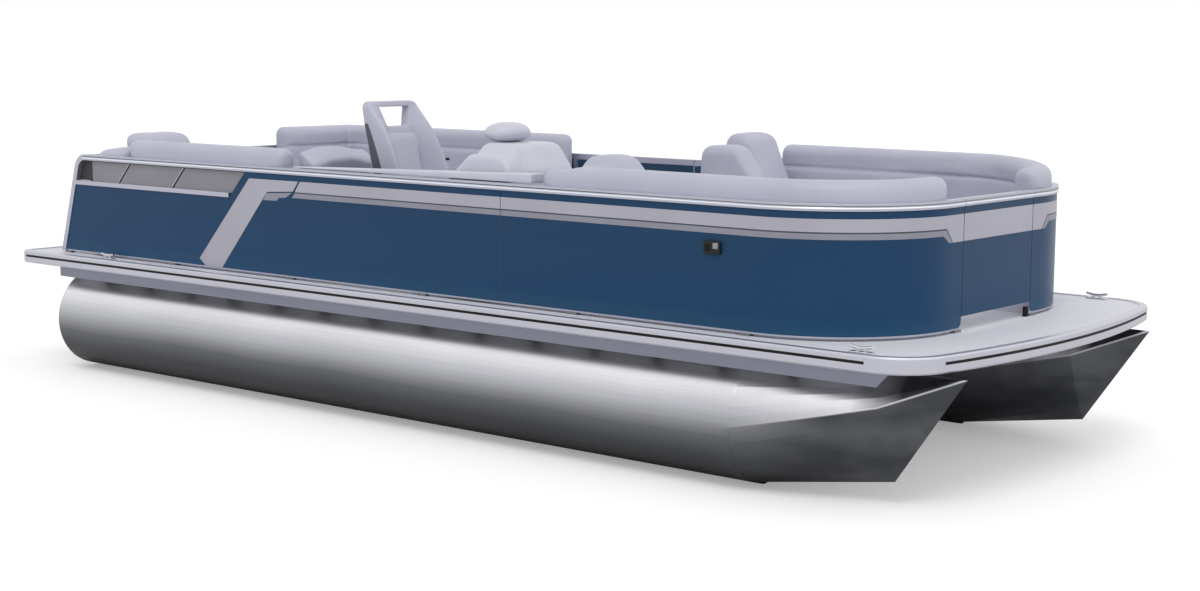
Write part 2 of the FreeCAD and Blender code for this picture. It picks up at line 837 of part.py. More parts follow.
POST_HEIGHT = "fence_height - top_rail - foot_height"


def gate_post(body, side):
    near, far = times(side, "gate_half"), times(side, "gate_half + wall")
    slab(body, rectangle("bow_fence - wall", near, "bow_fence - " + FRAME_NEAR, far),
         FENCE_FLOOR, POST_HEIGHT)


def side_post(body, start):
    slab(body, rectangle(start, "fence_half - wall", start + " + wall",
                         "fence_half - " + FRAME_NEAR),
         FENCE_FLOOR, POST_HEIGHT)


# A fence panel is a core that fills its frame, and a skin that laps over the frame's face.

def panel_levels():
    return FENCE_FLOOR + " + bottom_rail", FENCE_TOP + " - top_rail"


def aft_panel(side, label, core_stop, skin_stop):
    """A side panel with the recess left out of its upper aft corner."""
    body = new_body(label)
    high = panel_levels()[1]
    ledge = DECK + " + recess_floor - recess_rail"
    across = " + wall / cos(fence_rake)"
    for rise, stop, near, thick in (("bottom_reveal", skin_stop, SKIN_NEAR, "panel_skin"),
                                    ("bottom_rail", core_stop, FRAME_NEAR, CORE_THICK)):
        low = "%s + %s" % (FENCE_FLOOR, rise)
        corners = [
            (rake_x(rise) + across, low), (stop, low), (stop, high),
            (leaning("recess_end", "fence_height - top_rail - recess_floor + recess_rail"), high),
            ("recess_end", ledge),
            (rake_x("recess_floor - recess_rail - foot_height") + across, ledge)]
        side_slab(body, corners, "fence_half - " + near, thick, side)


def recess_plates():
    """Pale plates behind the recess, parted by leaning gaps."""
    body = new_body("recess_plates")
    low, high = DECK + " + recess_floor", FENCE_TOP + " - top_rail"
    tall = "fence_height - top_rail - recess_floor"
    pitch = "(%s * (recess_end - recess_start))" % RECESS_PITCH_SHARE
    for side, word in SIDES:
        for index in range(RECESS_PLATES):
            start = "(recess_end - %d * %s)" % (RECESS_PLATES - index, pitch)
            stop = "%s + %s - recess_gap" % (start, pitch)
            start_top = leaning(start, tall)
            if index == 0:
                start = start_top = "recess_start"
            elif index == RECESS_PLATES - 1:
                stop = leaning("recess_end", "recess_rail")
            corners = [(start, low), (stop, low), (leaning(stop, tall), high), (start_top, high)]
            side_slab(body, corners, "fence_half - recess_depth", "recess_plate", side)


def bow_panel(side, label, core_start, skin_start):
    """A panel that follows the bow's bend, its skin rounded at the foot beside the gate."""
    body = new_body(label)
    low, high = panel_levels()
    skin = slab(body, band(side, skin_start, "gate_half", SKIN_NEAR, FRAME_NEAR), SKIN_FOOT,
                "(%s) - (%s)" % (high, SKIN_FOOT))
    gate_edge, foot = number(times(side, "gate_half")), number(SKIN_FOOT)
    round_edges(body, skin, "panel_round", lambda edge: (
        edge.BoundBox.ZLength < NEAR and edge.BoundBox.YLength < NEAR
        and abs(edge.BoundBox.YMin - gate_edge) < NEAR and abs(edge.BoundBox.ZMin - foot) < NEAR))
    slab(body, band(side, core_start, "gate_half + wall", FRAME_NEAR, "panel_inset + panel_thick"),
         low, "(%s) - (%s)" % (high, low))


def fence_panels():
    seam = "panel_seam"
    aft_panel(STARBOARD, "fence_panel_starboard_aft", seam + " - seam_gap", seam + " - seam_gap")
    bow_panel(STARBOARD, "fence_panel_starboard_bow", seam, seam)
    aft_panel(PORT, "fence_panel_port_aft", "side_gate_aft - wall", "side_gate_aft")
    gate_front = "side_gate_aft + side_gate_width"
    bow_panel(PORT, "fence_panel_port_bow", gate_front + " + wall", gate_front)
    recess_plates()


def stern_fence():
    """The cross fence at the stern, on both sides of its gate."""
    frame = new_body("stern_frames")
    panel = new_body("stern_panels")
    low, high = panel_levels()
    for side, word in SIDES:
        near, far = times(side, "stern_gate_half"), times(side, "fence_half - wall")
        post = times(side, "stern_gate_half + wall")
        rear, back = "stern_wall + " + FRAME_NEAR, "stern_wall + wall"
        slab(frame, rectangle(rear, near, back, far), FENCE_FLOOR, "bottom_rail")
        slab(frame, rectangle(rear, near, back, post), FENCE_FLOOR, POST_HEIGHT)
        slab(frame, rectangle("stern_wall", near, back, far), high, "top_rail")
        slab(panel, rectangle("stern_wall + " + SKIN_NEAR, near, rear, far), SKIN_FOOT,
             "(%s) - (%s)" % (high, SKIN_FOOT))
        slab(panel, rectangle(rear, post, "stern_wall + panel_inset + panel_thick", far),
             low, "(%s) - (%s)" % (high, low))


def feet_along(body, side, start, stop, count):
    """Feet spaced evenly under a straight rail, between the stations of its ends."""
    inset = "(wall - foot_width) / 2"
    for index in range(count):
        near = "%s + (%s - foot_length - (%s)) * %d / %d" % (start, stop, start, index, count - 1)
        slab(body, strip(side, near, near + " + foot_length", inset, inset + " + foot_width"),
             DECK, "foot_height")


def foot_beside_gate(body, side, rear, gate_edge):
    """A foot under the post of a gate that crosses the boat."""
    near, far = times(side, gate_edge), times(side, gate_edge + " + foot_length")
    start = rear + " + (wall - foot_width) / 2"
    slab(body, rectangle(start, near, start + " + foot_width", far), DECK, "foot_height")


def fence_feet():
    """Blocks that hold the fence's bottom rail off the deck."""
    body = new_body("fence_feet")
    first, last = "(fence_aft + wall)", "(bow_fence - bow_bend)"
    feet_along(body, STARBOARD, first, last, SIDE_FEET)
    feet_along(body, PORT, first, "side_gate_aft", GATE_SIDE_FEET)
    feet_along(body, PORT, "(side_gate_aft + side_gate_width)", last, GATE_SIDE_FEET)
    for side, word in SIDES:
        foot_beside_gate(body, side, "bow_fence - wall", "gate_half")
        foot_beside_gate(body, side, "stern_wall", "stern_gate_half")


# A gate is a frame and a panel. Its place is given by two functions of the distance along
# the gate from its hinged edge and of the depth inside the fence's outer face.

def bow_place(along, depth):
    return "bow_fence - (%s)" % depth, "-gate_half + (%s)" % along


def side_place(along, depth):
    return "side_gate_aft + side_gate_width - (%s)" % along, "fence_half - (%s)" % depth


def stern_place(along, depth):
    return "stern_wall + (%s)" % depth, "stern_gate_half - (%s)" % along


GATES = [
    ("bow_gate", bow_place, "2 * gate_half"),
    ("side_gate", side_place, "side_gate_width"),
    ("stern_gate", stern_place, "2 * stern_gate_half"),
]


def gate_rect(place, start, stop, near, far):
    return [place(start, near), place(stop, near), place(stop, far), place(start, far)]


def gate(label, place, width):
    """One gate: a tube frame with its hinge knuckles, and the panel in and over it."""
    frame = new_body(label + "_frame")
    start, stop = "gate_clear", "%s - gate_clear" % width
    floor = "(%s + gate_lift)" % DECK
    high = "(%s - top_rail)" % FENCE_TOP
    tall = "%s - %s" % (high, floor)
    slab(frame, gate_rect(place, start, stop, FRAME_NEAR, "wall"), floor, "gate_stile")
    for begin, end in ((start, start + " + gate_stile"), (stop + " - gate_stile", stop)):
        slab(frame, gate_rect(place, begin, end, FRAME_NEAR, "wall"), floor, tall)
    slab(frame, gate_rect(place, start, stop, "0", "wall"), high, "top_rail")
    for level in hinge_levels():
        knuckle(frame, place, level + " + knuckle_height + knuckle_gap", "gate_clear + wall")
    panel = new_body(label + "_panel")
    slab(panel, gate_rect(place, start, stop, SKIN_NEAR, FRAME_NEAR), floor, tall)
    slab(panel, gate_rect(place, start + " + gate_stile", stop + " - gate_stile", FRAME_NEAR,
                          "panel_inset + panel_thick"),
         floor + " + gate_stile", tall + " - gate_stile")


def hinge_levels():
    return ("(%s + gate_lift + hinge_inset)" % DECK,
            "(%s - top_rail - hinge_inset - 2 * knuckle_height)" % FENCE_TOP)


def knuckle(body, place, level, reach):
    """Half of a lift-off hinge: a barrel on the gate's axis and the leaf that holds it."""
    leaf = gate_rect(place, "0", reach, "wall", "wall + knuckle_radius / 2")
    slab(body, leaf, level, "knuckle_height")
    x, y = place("0", "wall + knuckle_radius")
    barrel = new_sketch(body, "XY_Plane", ("0", "0", level))
    circle(barrel, x, y, "knuckle_radius")
    pad(body, barrel, "knuckle_height")


def gate_hinges():
    """The fence's halves of the gate hinges."""
    body = new_body("gate_hinges")
    for label, place, width in GATES:
        for level in hinge_levels():
            knuckle(body, place, level, "-wall")


def gate_bumper():
    body = new_body("gate_bumper")
    sketch = new_sketch(body, "XY_Plane", ("0", "0", DECK))
    circle(sketch, "bow_fence - wall / 2", "gate_half - 2 * bumper_radius", "bumper_radius")
    pad(body, sketch, "bumper_height")


# Depths inside the fence's outer face at which the lounges' pieces stand
BACK_NEAR = "(wall + lounge_gap)"
BACK_FAR = "(wall + lounge_gap + back_thick)"
SEAT_NEAR = "(wall + lounge_gap + back_thick + cushion_gap)"
SEAT_FAR = "(wall + lounge_gap + back_thick + cushion_depth)"
BASE_FAR = "(wall + lounge_gap + back_thick + base_depth)"
SEAT_FLOOR = "(" + DECK + " + base_height)"
SEAT_TOP = "(" + DECK + " + base_height + cushion_thick)"


def cushion(label, corners, floor, height, bevel):
    """A plain closed pad with its upper edges bevelled."""
    body = new_body(label)
    feature = slab(body, corners, floor, height)
    bevel_edges(body, feature, bevel, above("%s + %s" % (floor, height)))


def chaise(label, side, foot, top):
    """A reclined rest across a lounge's aft end, which stands on the base beside the back."""
    body = new_body(label)
    crest = "(%s + %s)" % (DECK, top)
    lean = " - (%s - %s) * tan(chaise_recline)" % (crest, SEAT_FLOOR)
    corners = [
        (foot + " - chaise_thick", SEAT_FLOOR), (foot, SEAT_FLOOR), (foot + lean, crest),
        (foot + " - chaise_thick" + lean, crest)]
    feature = side_slab(body, corners, "fence_half - " + SEAT_NEAR,
                        "%s - %s" % (BASE_FAR, SEAT_NEAR), side)
    bevel_edges(body, feature, "back_bevel", above(crest))


def bow_lounge(side, word, start, foot, top):
    base = new_body("bow_lounge_base_" + word)
    slab(base, band(side, start, "bow_lounge_end", BACK_NEAR, BASE_FAR), DECK, "base_height")
    back_corners = band(side, start, "bow_lounge_end", BACK_NEAR, BACK_FAR)
    cushion("bow_lounge_back_" + word, back_corners, DECK + " + back_foot",
            "back_top - back_foot", "back_bevel")
    seat_corner = band(side, "corner_start", "bow_lounge_end", SEAT_NEAR, SEAT_FAR)
    cushion("bow_lounge_corner_" + word, seat_corner, SEAT_FLOOR, "cushion_thick", "cushion_bevel")
    lid = strip(side, foot + " + cushion_gap", "corner_start - cushion_gap", SEAT_NEAR, SEAT_FAR)
    cushion("bow_lounge_lid_" + word, lid, SEAT_FLOOR + " + seat_gap", "cushion_thick",
            "cushion_bevel")
    chaise("bow_chaise_" + word, side, foot, top)


def starboard_stern_lounge():
    side = STARBOARD
    base = new_body("stern_lounge_base_starboard")
    slab(base, strip(side, "stern_lounge_start", "starboard_lounge_end", BACK_NEAR, BASE_FAR),
         DECK, "base_height")
    cushion("stern_lounge_back_starboard",
            strip(side, "stern_chaise_foot - chaise_thick", "starboard_lounge_end", BACK_NEAR,
                  BACK_FAR),
            DECK + " + back_foot", "back_top - back_foot", "back_bevel")
    cushion("stern_lounge_lid_starboard",
            strip(side, "stern_chaise_foot + cushion_gap", "starboard_lounge_end", SEAT_NEAR,
                  SEAT_FAR),
            SEAT_FLOOR + " + seat_gap", "cushion_thick", "cushion_bevel")
    chaise("stern_chaise_starboard", side, "stern_chaise_foot", "stern_chaise_top")


def port_stern_lounge():
    inner = "port_stern_inner"
    stern_near = "(stern_wall + wall + lounge_gap)"
    back_front = "(%s + back_thick)" % stern_near
    base_front = "(%s + back_thick + base_depth)" % stern_near
    seat_front = "(%s + back_thick + cushion_depth)" % stern_near

    def ell(near_x, far_x, near_depth, far_depth, stop):
        wide = "fence_half - (%s)" % near_depth
        narrow = "fence_half - (%s)" % far_depth
        return [(near_x, inner), (far_x, inner), (far_x, narrow), (stop, narrow), (stop, wide),
                (near_x, wide)]

    base = new_body("stern_lounge_base_port")
    slab(base, ell(stern_near, base_front, BACK_NEAR, BASE_FAR, "port_lounge_end"), DECK,
         "base_height")
    cushion("stern_lounge_back_port",
            ell(stern_near, back_front, BACK_NEAR, BACK_FAR, "port_lounge_end"),
            DECK + " + back_foot", "port_back_top - back_foot", "back_bevel")
    cushion("stern_lounge_corner_port",
            [(back_front + " + cushion_gap", inner), (seat_front, inner),
             (seat_front, "fence_half - " + SEAT_NEAR),
             (back_front + " + cushion_gap", "fence_half - " + SEAT_NEAR)],
            SEAT_FLOOR, "cushion_thick", "cushion_bevel")
    cushion("stern_lounge_lid_port",
            strip(PORT, seat_front + " + cushion_gap", "port_lounge_end", SEAT_NEAR, SEAT_FAR),
            SEAT_FLOOR + " + seat_gap", "cushion_thick", "cushion_bevel")


CONSOLE_OUTER = "(fence_half - %s - shelf_width - seat_gap)" % BACK_NEAR
POD_OUTER = "(%s - arm_width)" % CONSOLE_OUTER
POD_INNER = "(%s - pod_breadth)" % POD_OUTER


def console():
    """The helm's moulded stand: a pod with a sloped dash, a lower arm beside it and a hood."""
    body = new_body("helm_console")
    aft, bow = "console_aft", "(console_aft + console_length)"
    face_x = "(%s - face_lean)" % bow
    top_x = "(%s - brow_run)" % face_x
    pod = [
        (aft, DECK), (bow, DECK), (face_x, DECK + " + brow_height"),
        (top_x, DECK + " + console_height"), (aft + " + dash_run", DECK + " + console_height"),
        (aft, DECK + " + dash_height")]
    feature = side_slab(body, pod, POD_OUTER, "pod_breadth", STARBOARD)
    round_edges(body, feature, "console_round", above(DECK + " + console_height"))
    arm = [
        (aft, DECK), (bow, DECK), (face_x, DECK + " + brow_height"),
        (face_x, DECK + " + arm_height"), (aft + " + dash_run", DECK + " + arm_height"),
        (aft, DECK + " + dash_height")]
    side_slab(body, arm, CONSOLE_OUTER, "arm_width", STARBOARD)
    hood(body, top_x)


def hood(body, bow):
    """The rounded hood over the helm's gauges, which ends at a station on the stand's top."""
    middle = "-(%s + %s) / 2" % (POD_OUTER, POD_INNER)
    low, high = middle + " - hood_width / 2", middle + " + hood_width / 2"
    foot = "(%s + console_height - console_round)" % DECK
    crest = "(%s + console_round + hood_height)" % foot
    shoulder = "(%s - hood_round)" % crest
    corners = [
        (low, foot), (high, foot),
        (high, shoulder, high + " - hood_round", shoulder, 1),
        (high + " - hood_round", crest),
        (low + " + hood_round", crest, low + " + hood_round", shoulder, 1),
        (low, shoulder)]
    sketch = new_sketch(body, "YZ_Plane", ("0", "0", bow + " - hood_length - hood_back"))
    pad(body, outline(sketch, corners), "hood_length")


def shelf():
    """The ledge along the fence beside the helm."""
    body = new_body("side_shelf")
    corners = strip(STARBOARD, "shelf_start", "shelf_end", BACK_NEAR, BACK_NEAR + " + shelf_width")
    slab(body, corners, DECK + " + shelf_top - shelf_thick", "shelf_thick")


def wheel_frame():
    """The steering wheel's centre and its axis, which points aft and up at the driver."""
    centre = Vector(number("console_aft - wheel_reach"), -number("chair_y"),
                    number(DECK + " + wheel_height"))
    tilt = math.radians(number("wheel_tilt"))
    return centre, Vector(-math.cos(tilt), 0, math.sin(tilt))


def steering_wheel():
    """A rim of many-sided section on spokes, about a hub."""
    centre, axis = wheel_frame()
    radius, grip = number("wheel_radius"), number("wheel_grip")
    down = Vector(0, 1, 0).cross(axis)
    corners = []
    for index in range(RIM_SIDES + 1):
        turn = math.tau * index / RIM_SIDES
        corners.append(centre + down * (radius - grip + grip * math.cos(turn))
                       + axis * grip * math.sin(turn))
    rim = Part.Face(Part.makePolygon(corners)).revolve(centre, axis, 360)
    hub = Part.makeCylinder(number("hub_radius"), number("hub_depth"),
                            centre - axis * number("hub_depth / 2"), axis)
    width, thick = number("spoke_width"), number("spoke_thick")
    spokes = []
    for index in range(SPOKES):
        way = Rotation(axis, 360 / SPOKES * index).multVec(down)
        spoke = Part.makeBox(radius - grip, width, thick, Vector(0, -width / 2, -thick / 2))
        spoke.Placement = Placement(centre, Rotation(way, axis.cross(way), axis, "XZY"))
        spokes.append(spoke)
    return new_shape("steering_wheel", rim.fuse([hub] + spokes))


def steering_column():
    """The post from the wheel's hub into the stand, whose dash it meets face to face."""
    centre, axis = wheel_frame()
    start = centre - axis * number("hub_depth / 2 + swivel_gap")
    post = Part.makeCylinder(number("column_radius"), number("column_length"), start, axis * -1)
    stand = [piece for piece in subparts if piece.Label == "helm_console"][0]
    doc.recompute()
    stand_shape = stand.Shape.copy()
    stand_shape.Placement = Placement()
    return new_shape("steering_column", post.cut(stand_shape))


def chair():
    """The helm chair's pedestal and seat."""
    x, y = "chair_x", "-chair_y"
    post = new_body("chair_pedestal")
    for radius, height in (("pedestal_foot_radius", "pedestal_foot_height"),
                           ("pedestal_radius", "chair_seat_top - chair_seat_thick - swivel_gap")):
        sketch = new_sketch(post, "XY_Plane", ("0", "0", DECK))
        circle(sketch, x, y, radius)
        pad(post, sketch, height)
    half, reach = "chair_width / 2", "chair_depth / 2"
    seat_floor = DECK + " + chair_seat_top - chair_seat_thick"
    cushion("chair_seat", rectangle(x + " - " + reach, y + " - " + half, x + " + " + reach,
                                    y + " + " + half),
            seat_floor, "chair_seat_thick", "cushion_bevel")


def chair_back():
    """A back that narrows upwards, with wings beside it and an opening under its head bar."""
    body = new_body("chair_back")
    foot = "(%s + chair_seat_top + seat_gap)" % DECK
    top = "(%s + chair_back_top)" % DECK
    rear = "(chair_x - chair_depth / 2)"
    front = "(%s + chair_back_thick)" % rear
    lean = " - (%s - %s) * tan(chair_back_lean)" % (top, foot)
    toe = "(%s + wing_reach)" % rear
    knee = (toe + " - wing_knee_back", foot + " + wing_knee_rise")
    wings = [(rear, foot), (toe, foot), knee, (front + lean, top), (rear + lean, top)]
    feature = side_slab(body, wings, "chair_y + chair_width / 2", "chair_width", STARBOARD)
    knee_height = number(knee[1])
    round_edges(body, feature, "wing_round", lambda edge: abs(
        edge.BoundBox.ZMax - knee_height) < NEAR and edge.BoundBox.ZLength < NEAR)
    between = [(front, foot), (toe + " + overrun", foot), (toe + " + overrun", top + " + overrun"),
               (front + lean, top + " + overrun"), (front + lean, top)]
    sketch = new_sketch(body, "XZ_Plane", ("0", "0", "chair_y"))
    pocket(body, outline(sketch, between), "chair_top_width - 2 * wing_thick", middle=True)
    narrow_sides(body, foot, top)
    head_opening(body, top)


def narrow_sides(body, foot, top):
    """Cuts the back's sides so that they close in towards its top."""
    sketch = new_sketch(body, "YZ_Plane", ("0", "0", "chair_x"))
    for side, word in SIDES:
        wide = "-chair_y + " + times(side, "chair_width / 2")
        narrow = "-chair_y + " + times(side, "chair_top_width / 2")
        beyond = "-chair_y + " + times(side, "chair_width / 2 + overrun")
        outline(sketch, [(wide, foot), (narrow, top), (narrow, top + " + overrun"),
                         (beyond, top + " + overrun"), (beyond, foot)])
    pocket(body, sketch, "2 * chair_depth", middle=True)


def head_opening(body, top):
    """The tapered opening under the bar at the top of the back."""
    sketch = new_sketch(body, "YZ_Plane", ("0", "0", "chair_x"))
    high, low = top + " - head_bar", top + " - head_bar - head_hole_height"
    outline(sketch, [
        ("-chair_y - head_hole_foot / 2", low), ("-chair_y + head_hole_foot / 2", low),
        ("-chair_y + head_hole_width / 2", high), ("-chair_y - head_hole_width / 2", high)])
    pocket(body, sketch, "2 * chair_depth", middle=True)


def cleats():
    """Mooring cleats on the deck's edge: a foot under a bar that is longer than it."""
    body = new_body("mooring_cleats")
    for side, word in SIDES:
        for start in ("cleat_aft", "cleat_bow"):
            stop = start + " + cleat_length"
            rear, front = start + " + cleat_length / 4", stop + " - cleat_length / 4"
            high = DECK + " + cleat_height"
            arm = high + " - cleat_width / 2"
            corners = [
                (rear, DECK), (front, DECK), (front, arm), (stop, arm), (stop, high),
                (start, high), (start, arm), (rear, arm)]
            side_slab(body, corners, "beam / 2 - cleat_inset", "cleat_width", side)


def side_lamps():
    """Dark lamp housings on the forward part of the side fence."""
    body = new_body("side_lamps")
    for side, word in SIDES:
        low, high = "lamp_height - lamp_tall / 2", "lamp_height + lamp_tall / 2"
        corners = rectangle("lamp_station - lamp_length / 2", DECK + " + " + low,
                            "lamp_station + lamp_length / 2", DECK + " + " + high)
        side_slab(body, corners, "fence_half - panel_inset + lamp_proud", "lamp_proud", side)


for side, word in SIDES:
    pontoon(side, word)
deck_risers()
cross_members()
transom_pod()
deck()
rub_rails()
for side, word in SIDES:
    skirt(side, word)
fence_frames()
fence_panels()
stern_fence()
fence_feet()
for label, place, width in GATES:
    gate(label, place, width)
gate_hinges()
gate_bumper()
bow_lounge(PORT, "port", "bow_lounge_start_port", "chaise_foot_port", "chaise_top_port")
bow_lounge(STARBOARD, "starboard", "bow_lounge_start_starboard", "chaise_foot_starboard",
           "chaise_top_starboard")
starboard_stern_lounge()
port_stern_lounge()
console()
shelf()
steering_wheel()
steering_column()
chair()
chair_back()
cleats()
side_lamps()

doc.recompute()
faults = [item.Label + ": " + " ".join(item.State) for item in doc.Objects
          if "Invalid" in item.State or "Error" in item.State]
faults += [piece.Label + ": bad shape" for piece in subparts
           if piece.Shape.isNull() or not piece.Shape.isValid()]
if faults:
    raise SystemExit("\n".join(faults))
for piece in subparts:
    piece.Shape.exportStep(os.path.join("parts", piece.Label + ".step"))
print(len(subparts), "sub-parts written")
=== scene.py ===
# The looks of a pontoon boat: padded lounges, painted graphics, metal finishes and small trim
# round the fixed frame. Lengths are metres. X runs forward, Y to port, Z up from the floor.

import json
import math

import bmesh
import bpy
from mathutils import Matrix, Vector


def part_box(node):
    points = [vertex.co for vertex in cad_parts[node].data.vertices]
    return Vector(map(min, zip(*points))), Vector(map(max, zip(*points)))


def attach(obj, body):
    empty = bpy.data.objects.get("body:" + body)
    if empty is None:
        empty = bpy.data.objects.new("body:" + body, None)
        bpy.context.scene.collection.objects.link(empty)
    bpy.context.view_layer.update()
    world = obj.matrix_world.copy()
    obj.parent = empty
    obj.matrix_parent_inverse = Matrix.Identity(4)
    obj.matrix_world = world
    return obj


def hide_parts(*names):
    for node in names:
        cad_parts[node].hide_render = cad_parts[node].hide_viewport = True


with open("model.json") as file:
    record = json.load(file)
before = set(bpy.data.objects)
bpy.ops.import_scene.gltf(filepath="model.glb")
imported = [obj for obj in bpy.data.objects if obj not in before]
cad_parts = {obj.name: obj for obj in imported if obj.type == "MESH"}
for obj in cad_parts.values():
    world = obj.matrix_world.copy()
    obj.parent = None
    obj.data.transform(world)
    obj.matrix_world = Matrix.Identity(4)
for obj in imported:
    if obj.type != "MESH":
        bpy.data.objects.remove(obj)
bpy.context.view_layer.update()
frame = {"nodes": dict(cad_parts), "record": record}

PORT, STARBOARD = 1, -1
SIDES = ((PORT, "port"), (STARBOARD, "starboard"))
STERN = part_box("rub_rail_stern")[0].x
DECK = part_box("deck")[1].z
TUBE_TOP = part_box("pontoon_starboard")[1].z


def reach(node):
    """A node's low and high corners, as distances forward of the stern edge, to port and above
    the deck."""
    return [(corner.x - STERN, corner.y, corner.z - DECK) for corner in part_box(node)]


def ship(x, y, z):
    """A point from its distances forward of the stern edge, to port and above the deck."""
    return Vector((STERN + x, y, DECK + z))


# The fence. Its wall, its bend and the gate's half width aren't in its boxes.
FENCE_LOW, FENCE_HIGH = reach("fence_frame_starboard")
FENCE_HALF = -FENCE_LOW[1]
FENCE_FRONT, FENCE_TOP = FENCE_HIGH[0], FENCE_HIGH[2]
WALL = 0.036
BEND = 0.690
GATE_POST = 0.358
BEND_X = FENCE_FRONT - BEND
BEND_Y = FENCE_HALF - BEND
BEND_RUN = BEND * math.pi / 2
BEND_END = BEND_X + BEND_RUN
GATE_RUN = BEND_END + BEND_Y - GATE_POST
GATE_FAR = GATE_RUN + 2 * GATE_POST


def along_fence(side, run, depth, height):
    """A point by the fence: run goes forward from the stern edge and round the bow's bend on
    the outer face, depth is inside that face and height above the deck."""
    if run <= BEND_X:
        x, y = run, FENCE_HALF - depth
    elif run < BEND_END:
        turn = (run - BEND_X) / BEND
        x = BEND_X + (BEND - depth) * math.sin(turn)
        y = BEND_Y + (BEND - depth) * math.cos(turn)
    else:
        x, y = FENCE_FRONT - depth, BEND_Y - (run - BEND_END)
    return ship(x, side * y, height)


def beside(side):
    """Places a section's points (depth, height) along the fence of one side."""
    return lambda run, x, y: along_fence(side, run, x, y)


def across(side=PORT):
    """Places a section's points (x, z) across the boat, towards one side."""
    return lambda run, x, y: ship(x, side * run, y)


# Materials

class Nodes:
    """A node tree that is built step by step."""

    def __init__(self, tree):
        self.tree = tree

    def node(self, kind, **values):
        """A new node, with values for its settings or its sockets."""
        made = self.tree.nodes.new("ShaderNode" + kind)
        for name, value in values.items():
            if hasattr(made, name):
                setattr(made, name, value)
            else:
                made.inputs[name.replace("_", " ")].default_value = value
        return made

    def link(self, source, target):
        self.tree.links.new(source, target)

    def math(self, operation, *terms):
        """One operation on sockets and numbers."""
        made = self.node("Math", operation=operation)
        for socket, term in zip(made.inputs, terms):
            if isinstance(term, float):
                socket.default_value = term
            else:
                self.link(term, socket)
        return made.outputs[0]

    def spread(self, source, low, high, start=0.0, stop=1.0):
        """Maps a value from the range start to stop onto low to high."""
        made = self.node("MapRange", From_Min=start, From_Max=stop, To_Min=low, To_Max=high)
        self.link(source, made.inputs["Value"])
        return made.outputs["Result"]


class Shader(Nodes):
    """A material round one Principled BSDF."""

    def __init__(self, name, color, roughness, **sockets):
        self.material = bpy.data.materials.new(name)
        self.material.use_nodes = True
        super().__init__(self.material.node_tree)
        self.bsdf = self.tree.nodes["Principled BSDF"]
        plain = {"Base_Color": (*color, 1), "Roughness": roughness, **sockets}
        for socket, value in plain.items():
            self.bsdf.inputs[socket.replace("_", " ")].default_value = value

    def to(self, socket, source):
        self.link(source, self.bsdf.inputs[socket])

    def place(self, stretch=(1, 1, 1)):
        """Coordinates that stay with the piece, in metres, stretched along its axes."""
        mapping = self.node("Mapping", Scale=stretch)
        self.link(self.node("TexCoord").outputs["Object"], mapping.inputs["Vector"])
        return mapping.outputs["Vector"]

    def along(self, axis):
        split = self.node("SeparateXYZ")
        self.link(self.place(), split.inputs["Vector"])
        return split.outputs[axis]

    def facing(self):
        """How far the surface faces up: 0 for straight down and 1 for straight up."""
        split = self.node("SeparateXYZ")
        self.link(self.node("NewGeometry").outputs["Normal"], split.inputs["Vector"])
        return self.spread(split.outputs["Z"], 0.0, 1.0, -1.0, 1.0)

    def noise(self, scale, detail=3.0, stretch=(1, 1, 1)):
        texture = self.node("TexNoise", Scale=scale, Detail=detail)
        self.link(self.place(stretch), texture.inputs["Vector"])
        return texture.outputs["Fac"]

    def ramp(self, source, stops):
        """Colours by a value: stops are (value, colour) from low to high."""
        made = self.node("ValToRGB")
        elements = made.color_ramp.elements
        while len(elements) < len(stops):
            elements.new(0.5)
        for element, (place, color) in zip(elements, stops):
            element.position = place
            element.color = (*color, 1)
        self.link(source, made.inputs["Fac"])
        return made.outputs["Color"]

    def mix(self, share, first, second, mode="MIX"):
        """Blends two colours by a share that varies over the surface."""
        made = self.node("Mix", data_type="RGBA", blend_type=mode)
        for socket, value in ((made.inputs[6], first), (made.inputs[7], second)):
            if isinstance(value, tuple):
                socket.default_value = (*value, 1)
            else:
                self.link(value, socket)
        self.link(share, made.inputs[0])
        return made.outputs[2]

    def mottle(self, scale, other, color, ends=(0.35, 0.65)):
        """Cloudy patches of two colours."""
        self.to("Base Color", self.ramp(self.noise(scale, 4.0), list(zip(ends, (other, color)))))

    def rough(self, scale, low, high):
        """Gloss that varies in patches."""
        self.to("Roughness", self.spread(self.noise(scale), low, high))

    def soften(self, radius):
        """Rounds the look of sharp edges by a radius."""
        made = self.node("Bevel", samples=4, Radius=radius)
        self.to("Normal", made.outputs["Normal"])

    def bump(self, source, strength, distance):
        """Adds one more layer of bump."""
        made = self.node("Bump", Strength=strength, Distance=distance)
        self.link(source, made.inputs["Height"])
        before = self.bsdf.inputs["Normal"].links
        if before:
            self.link(before[0].from_socket, made.inputs["Normal"])
        self.to("Normal", made.outputs["Normal"])


# The depth of the finest bumps
FINE = 0.0004


def vinyl(name, color, worn):
    """Marine upholstery vinyl: fine leather grain, soft wear and puckers beside its seams."""
    shader = Shader(name, color, 0.45, Specular_IOR_Level=0.4)
    shader.mottle(3.0, worn, color)
    shader.rough(40.0, 0.38, 0.56)
    shader.bump(shader.noise(9.0, 2.0), 0.25, 0.004)
    near_seam = shader.node("Attribute", attribute_name="seam").outputs["Fac"]
    shader.bump(shader.math("MULTIPLY", near_seam, shader.noise(70.0, 1.0)), 0.5, 0.004)
    grain = shader.node("TexVoronoi", feature="DISTANCE_TO_EDGE", Scale=520.0)
    shader.link(shader.place(), grain.inputs["Vector"])
    shader.bump(grain.outputs["Distance"], 0.35, FINE)
    return shader.material


